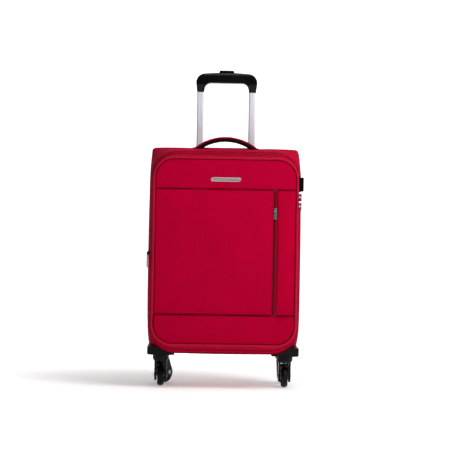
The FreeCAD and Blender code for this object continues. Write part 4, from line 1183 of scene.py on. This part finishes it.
# ==== Lock ====
# A combination lock: a black ABS case riveted to the band, three numbered wheels and a push knob.
dial_plastic = moulded("ribbed black acetal", "#0C0B0E", 0.4, 0.0005, 0.2, 0.2, spec=0.4,
                       worn="#8A8A8C")
paint(dial_plastic, "lock_dial_1", "lock_dial_2", "lock_dial_3")
for n in range(3):
    low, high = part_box(f"lock_dial_{n + 1}")
    centre, radius = (low + high) / 2, (high.x - low.x) / 2
    bm = bmesh.new()
    for k in range(10):
        # one flat-topped rib between each two numbers
        a = math.radians(36 * k)
        block = bmesh.ops.create_cube(bm, size=1.0)["verts"]
        bmesh.ops.scale(bm, vec=(0.0007, 0.0007, (high.z - low.z) * 0.82), verts=block)
        bmesh.ops.rotate(bm, cent=(0, 0, 0), matrix=Matrix.Rotation(a, 3, "Z"), verts=block)
        bmesh.ops.translate(bm, vec=(centre.x + (radius - 0.00012) * math.cos(a),
                                     centre.y + (radius - 0.00012) * math.sin(a), centre.z),
                            verts=block)
    ribs = from_bmesh(f"dial_ribs_{n + 1}", bm)
    dress(ribs, dial_plastic, f"dial_{n + 1}", "black_plastic")

# ==== Trolley tubes ====
# Drawn aluminium tubes in three stages, satin-anodised: fine lines run up them, and the pale oxide
# skin scatters most of the light, so they are only partly metallic.

anodised = metal("satin anodised aluminium", "#F0F3FB", 0.28, 0.0005, (1, 1, 0.02), 0.10,
                 tarnish="#E4E7F0", vary=0.05, bare=0.25)
steel = metal("zinc-plated steel", "#A8A9AC", 0.35, tarnish="#77787C")
paint(anodised, "outer_tubes", "middle_tubes", "inner_tubes")
paint(steel, "release_rods", "lock_pins", "kingpins", *(f"{c}_axle" for c in (
    "front_left", "front_right", "rear_left", "rear_right")))

# ==== Grip ====
# A two-part nylon grip with soft shoulders, a satin cap along the top and a square push button.
paint(nylon, "grip_body")
paint(abs_gloss, "grip_cap", "grip_button")

# ==== Carry handle ====
# A padded strap: a black foam core stitched into a red cloth cover that folds over its edges, both
# ends riveted down to the top of the case.

cover_low, cover_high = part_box("handle_cover")
half_span = (cover_high.x - cover_low.x) / 2
handle_y = (cover_low.y + cover_high.y) / 2
apex = cover_high.z
span_x, rise_z = half_span, 0.0285
arc_r = (span_x ** 2 + rise_z ** 2) / (2 * rise_z)
arc_z = apex - arc_r


def strap_loft(name, outer, inner, half_w, rounding, material, slot, *stands_for, ends=0.0):
    """A curved strap between two radii about the handle's centre, with rounded long edges."""
    spread = math.asin(min((span_x - ends) / arc_r, 1))
    section = []
    thick = outer - inner
    for a in range(0, 360, 18):
        c, s = math.cos(math.radians(a)), math.sin(math.radians(a))
        u = math.copysign(abs(c) ** rounding, c) * half_w
        v = math.copysign(abs(s) ** rounding, s) * thick / 2
        section.append((u, v))
    verts, uvs, faces = [], [], []
    turns = np.linspace(-spread, spread, 57)
    for t in turns:
        flat_end = smooth_step(abs(t), spread * 0.86, spread)
        mid = (outer + inner) / 2 + 0.0006 * flat_end
        pinch = 1 - 0.12 * flat_end
        for u, v in section:
            swell = 1 + 0.06 * ripple(np.array(t * arc_r), 2.2) * (abs(v) > thick * 0.3)
            r = mid + v * float(swell)
            verts.append((r * math.sin(t), handle_y + u * pinch, arc_z + r * math.cos(t)))
    size = len(section)
    for i in range(len(turns) - 1):
        for k in range(size):
            m = (k + 1) % size
            faces.append((i * size + k, (i + 1) * size + k, (i + 1) * size + m, i * size + m))
            for a_, b_ in ((i, k), (i + 1, k), (i + 1, k + 1), (i, k + 1)):
                uvs.append((a_ * 0.003, b_ * 0.0035))
    for end, flip in ((0, False), (len(turns) - 1, True)):
        ring_ = tuple(end * size + k for k in range(size))
        faces.append(ring_ if not flip else ring_[::-1])
        uvs += [(0.0, k * 0.003) for k in range(size)]
    made = outward(mesh_object(name, verts, faces, uvs, np.zeros(len(verts))))
    subdivide(made)
    return dress(made, material, "shell", slot, *stands_for)


foam_skin = moulded("black neoprene binding", "#060508", 0.6, 0.0006, 0.3, 0.3, spec=0.08,
                    worn="#0C0B0E")
cover = strap_loft("handle_cover_cloth", arc_r, arc_r - 0.0046, 0.0138, 0.55, red_cloth,
                   "red_fabric", "handle_cover")
core = strap_loft("handle_core_foam", arc_r - 0.0042, arc_r - 0.0112, 0.0140, 0.45, foam_skin,
                  "black_rubber", "handle_core")
lines = []
for side in (-1, 1):
    spread = math.asin(span_x / arc_r) * 0.97
    points = [((arc_r + 0.0001) * math.sin(t), handle_y + side * 0.0098,
               arc_z + (arc_r + 0.0001) * math.cos(t)) for t in np.linspace(-spread, spread, 60)]
    lines.append((np.array(points), False))
run_along("handle_stitches", lines, stitch_tree, 0.0034, 0.0026, 0.0007, 0.0007, thread, "shell",
          "red_fabric")

# ==== Casters ====
# Twin-bearing spinner casters: a nylon fork turns under each guard, and a wheel with a grey-black
# polyurethane tyre on a nylon hub rolls on a steel axle.

tyre, tree, bsdf = new_material("black polyurethane tyre")
place = add(tree, "ShaderNodeTexCoord").outputs["Object"]
dust = add(tree, "ShaderNodeTexNoise", {"Vector": place, "Scale": 160.0, "Detail": 6.0})
grime = add(tree, "ShaderNodeMapRange", {"Value": dust.outputs["Fac"], "From Min": 0.45,
                                         "From Max": 0.8, "To Max": 0.5})
tone = add(tree, "ShaderNodeMix", {0: grime.outputs[0], 6: srgb("#060508"), 7: srgb("#131216")},
           data_type="RGBA")
tree.links.new(tone.outputs[2], bsdf.inputs["Base Color"])
fine = add(tree, "ShaderNodeTexNoise", {"Vector": place, "Scale": 900.0, "Detail": 2.0})
bump = add(tree, "ShaderNodeBump", {"Height": fine.outputs["Fac"], "Strength": 0.15,
                                    "Distance": 0.0003})
tree.links.new(bump.outputs[0], bsdf.inputs["Normal"])
bsdf.inputs["Roughness"].default_value = 0.42
bsdf.inputs["Specular IOR Level"].default_value = 0.16

wheel_r = 0.025
for corner in ("front_left", "front_right", "rear_left", "rear_right"):
    low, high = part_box(f"{corner}_wheel")
    centre = (low + high) / 2
    wheel = nodes[f"{corner}_wheel"]
    wheel.data.materials.clear()
    wheel.data.materials.append(tyre)
    wheel.data.materials.append(nylon)
    near_hub = wheel_r - 0.0068
    turned = {"rear_left": -35.0, "rear_right": -12.0}.get(corner, 0.0)
    axis = Vector((math.cos(math.radians(turned)), math.sin(math.radians(turned)), 0))
    for p in wheel.data.polygons:
        off = p.center - centre
        radial = (off - axis * off.dot(axis)).length
        p.material_index = 1 if radial < near_hub else 0

# ==== Screws and rivets ====
# Each corner guard is held by four screws from below and each runner by two. Two domed rivets hold
# the carry handle's ends.

head_tree, given = new_tree("heads set on points", Way="Vector", Radius="Float", Dome="Float")
ball = add(head_tree, "GeometryNodeMeshUVSphere", {"Segments": 20, "Rings": 10, "Radius": 1.0})
turn = add(head_tree, "FunctionNodeAlignRotationToVector", {"Vector": given["Way"]}, axis="Z")
scale = add(head_tree, "ShaderNodeCombineXYZ", {"X": given["Radius"], "Y": given["Radius"],
                                                "Z": given["Dome"]})
placed = add(head_tree, "GeometryNodeInstanceOnPoints", {
    "Points": given["Geometry"], "Instance": ball.outputs[0], "Rotation": turn.outputs[0],
    "Scale": scale.outputs[0]})
finish_tree(head_tree, placed, given["Material"])


def set_heads(name, places, way, radius, dome, material, slot):
    """Domed heads at the places, facing way, as one plain mesh on the shell."""
    mesh = bpy.data.meshes.new(name)
    mesh.from_pydata([tuple(p) for p in places], [], [])
    made = bpy.data.objects.new(name, mesh)
    bpy.context.scene.collection.objects.link(made)
    give_tree(made, head_tree, {"Way": way, "Radius": radius, "Dome": dome, "Material": material})
    return dress(plain_mesh(made), material, "shell", slot)


guard_low, guard_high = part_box("corner_guards")
screw_in = 0.011
guard_half = guard_long / 2
screw_ways = (screw_in - guard_half, guard_half - screw_in)
guard_spots = [(sx * (guard_high.x - guard_half + dx), y + dy, guard_low.z - 0.0002)
               for sx in (-1, 1) for y in (guard_low.y + guard_half, guard_high.y - guard_half)
               for dx in screw_ways for dy in screw_ways]
set_heads("guard_screws", guard_spots, (0, 0, -1), 0.0034, 0.0012, steel, "steel")
skid_spots = [(sx * skid_x, skid_high.y - 0.0004, z) for sx in (-1, 1)
              for z in (skid_low.z + 0.014, skid_high.z - 0.014)]
set_heads("runner_screws", skid_spots, (0, 1, 0), 0.0030, 0.0011, steel, "steel")
rivet_turn = math.asin(span_x / arc_r) * 0.90
for side, name in ((-1, "left_handle_rivet"), (1, "right_handle_rivet")):
    way = (side * math.sin(rivet_turn), 0, math.cos(rivet_turn))
    spot = (arc_r * way[0], handle_y, arc_z + arc_r * way[2])
    set_heads(name, [spot], way, 0.0042, 0.0011, abs_gloss, "black_plastic")

# ==== Floor, light and camera ====
# A pale sweep of card runs back from under the case and up behind it, lit by four large soft lamps.

sweep_start, sweep_r = 3.0, 1.5  # where the card starts to rise behind the case, and its bend
bm = bmesh.new()
curve = [(-3.0, 0.0), (sweep_start, 0.0)]
curve += [(sweep_start + sweep_r * math.sin(a), sweep_r - sweep_r * math.cos(a))
          for a in np.linspace(0.1, math.pi / 2, 12)] + [(sweep_start + sweep_r, 6.0)]
line = [[bm.verts.new((x, y, z)) for y, z in curve] for x in (-8, 8)]
for k in range(len(curve) - 1):
    bm.faces.new((line[0][k], line[1][k], line[1][k + 1], line[0][k + 1]))
floor = from_bmesh("floor_sweep", bm)
for p in floor.data.polygons:
    p.use_smooth = True
card, tree, bsdf = new_material("matt white card")
grain = add(tree, "ShaderNodeTexNoise", {"Scale": 900.0, "Detail": 2.0})
tone = add(tree, "ShaderNodeMix", {0: grain.outputs["Fac"], 6: srgb("#F4F4F4"), 7: srgb("#F8F8F8")},
           data_type="RGBA")
tree.links.new(tone.outputs[2], bsdf.inputs["Base Color"])
bsdf.inputs["Roughness"].default_value = 0.95
bsdf.inputs["Emission Color"].default_value = (1, 1, 1, 1)
# The card glows, and glows less under the case: a painted shadow where its shadow falls. It lights
# the case from the middle of the sweep only, but looks bright all over.
place = add(tree, "ShaderNodeTexCoord").outputs["Object"]
away = add(tree, "ShaderNodeVectorMath", {0: place}, operation="LENGTH").outputs["Value"]
parts = add(tree, "ShaderNodeSeparateXYZ", {0: place})
aside = add(tree, "ShaderNodeMath", {0: parts.outputs[0]}, operation="ABSOLUTE").outputs[0]
# the first share, low near the case, is the painted shadow; the other two limit the glow that
# lights the case
shares = [add(tree, "ShaderNodeMapRange", {"Value": value, "From Min": start, "From Max": end,
                                           "To Min": low_glow, "To Max": high_glow},
              interpolation_type="SMOOTHSTEP").outputs[0]
          for value, start, end, low_glow, high_glow in (
              (away, 0.28, 1.0, 0.30, 0.95), (aside, 2.4, 1.25, 0.2, 1.0),
              (parts.outputs[1], -2.3, -1.7, 0.0, 1.0))]
lights = add(tree, "ShaderNodeMath", {0: shares[1], 1: shares[2]}, operation="MULTIPLY")
seen = add(tree, "ShaderNodeMath", {0: lights.outputs[0], 1: add(
    tree, "ShaderNodeLightPath").outputs["Is Camera Ray"]}, operation="MAXIMUM")
glow = add(tree, "ShaderNodeMath", {0: shares[0], 1: seen.outputs[0]}, operation="MULTIPLY")
tree.links.new(glow.outputs[0], bsdf.inputs["Emission Strength"])
floor.data.materials.append(card)

world = bpy.data.worlds.new("white room")
bpy.context.scene.world = world
world.use_nodes = True
world.node_tree.nodes["Background"].inputs[0].default_value = (1, 1, 1, 1)
room = add(world.node_tree, "ShaderNodeMapRange", {
    "Value": add(world.node_tree, "ShaderNodeLightPath").outputs["Is Camera Ray"],
    "To Min": 0.05, "To Max": 1.0})
world.node_tree.links.new(room.outputs[0], world.node_tree.nodes["Background"].inputs[1])
lamps = (("key", (0.95, -1.00, 1.42), 0.9, 23.5), ("fill", (-0.4, -3.4, 2.6), 1.2, 6),
         ("top", (0.2, -0.3, 2.4), 1.2, 16), ("right_edge", (2.6, 0.6, 1.0), 1.0, 4))
for name, where, size, power in lamps:
    lamp = bpy.data.lights.new(name, "AREA")
    lamp.energy, lamp.size = power, size
    held = bpy.data.objects.new(name, lamp)
    held.location = where
    held.rotation_euler = (Vector((0, 0, 0.35)) - held.location).to_track_quat("-Z", "Y").to_euler()
    bpy.context.scene.collection.objects.link(held)
bpy.context.scene.view_settings.view_transform = "Standard"

eye = bpy.data.cameras.new("camera")
eye.sensor_width = 36.0
field_of_view, around, roll = (math.radians(a) for a in (13.519, -0.70, 0.957))
far, eye_height, looks_at = 4.5, 0.367, Vector((0.0123, 0, 0.3619))
eye.lens = eye.sensor_width / 2 / math.tan(field_of_view / 2)
camera = bpy.data.objects.new("camera", eye)
camera.location = (far * math.sin(around), -far * math.cos(around), eye_height)
camera.rotation_euler = ((looks_at - camera.location).to_track_quat("-Z", "Y").to_matrix()
                         @ Matrix.Rotation(roll, 3, "Z")).to_euler()
bpy.context.scene.collection.objects.link(camera)
bpy.context.scene.camera = camera
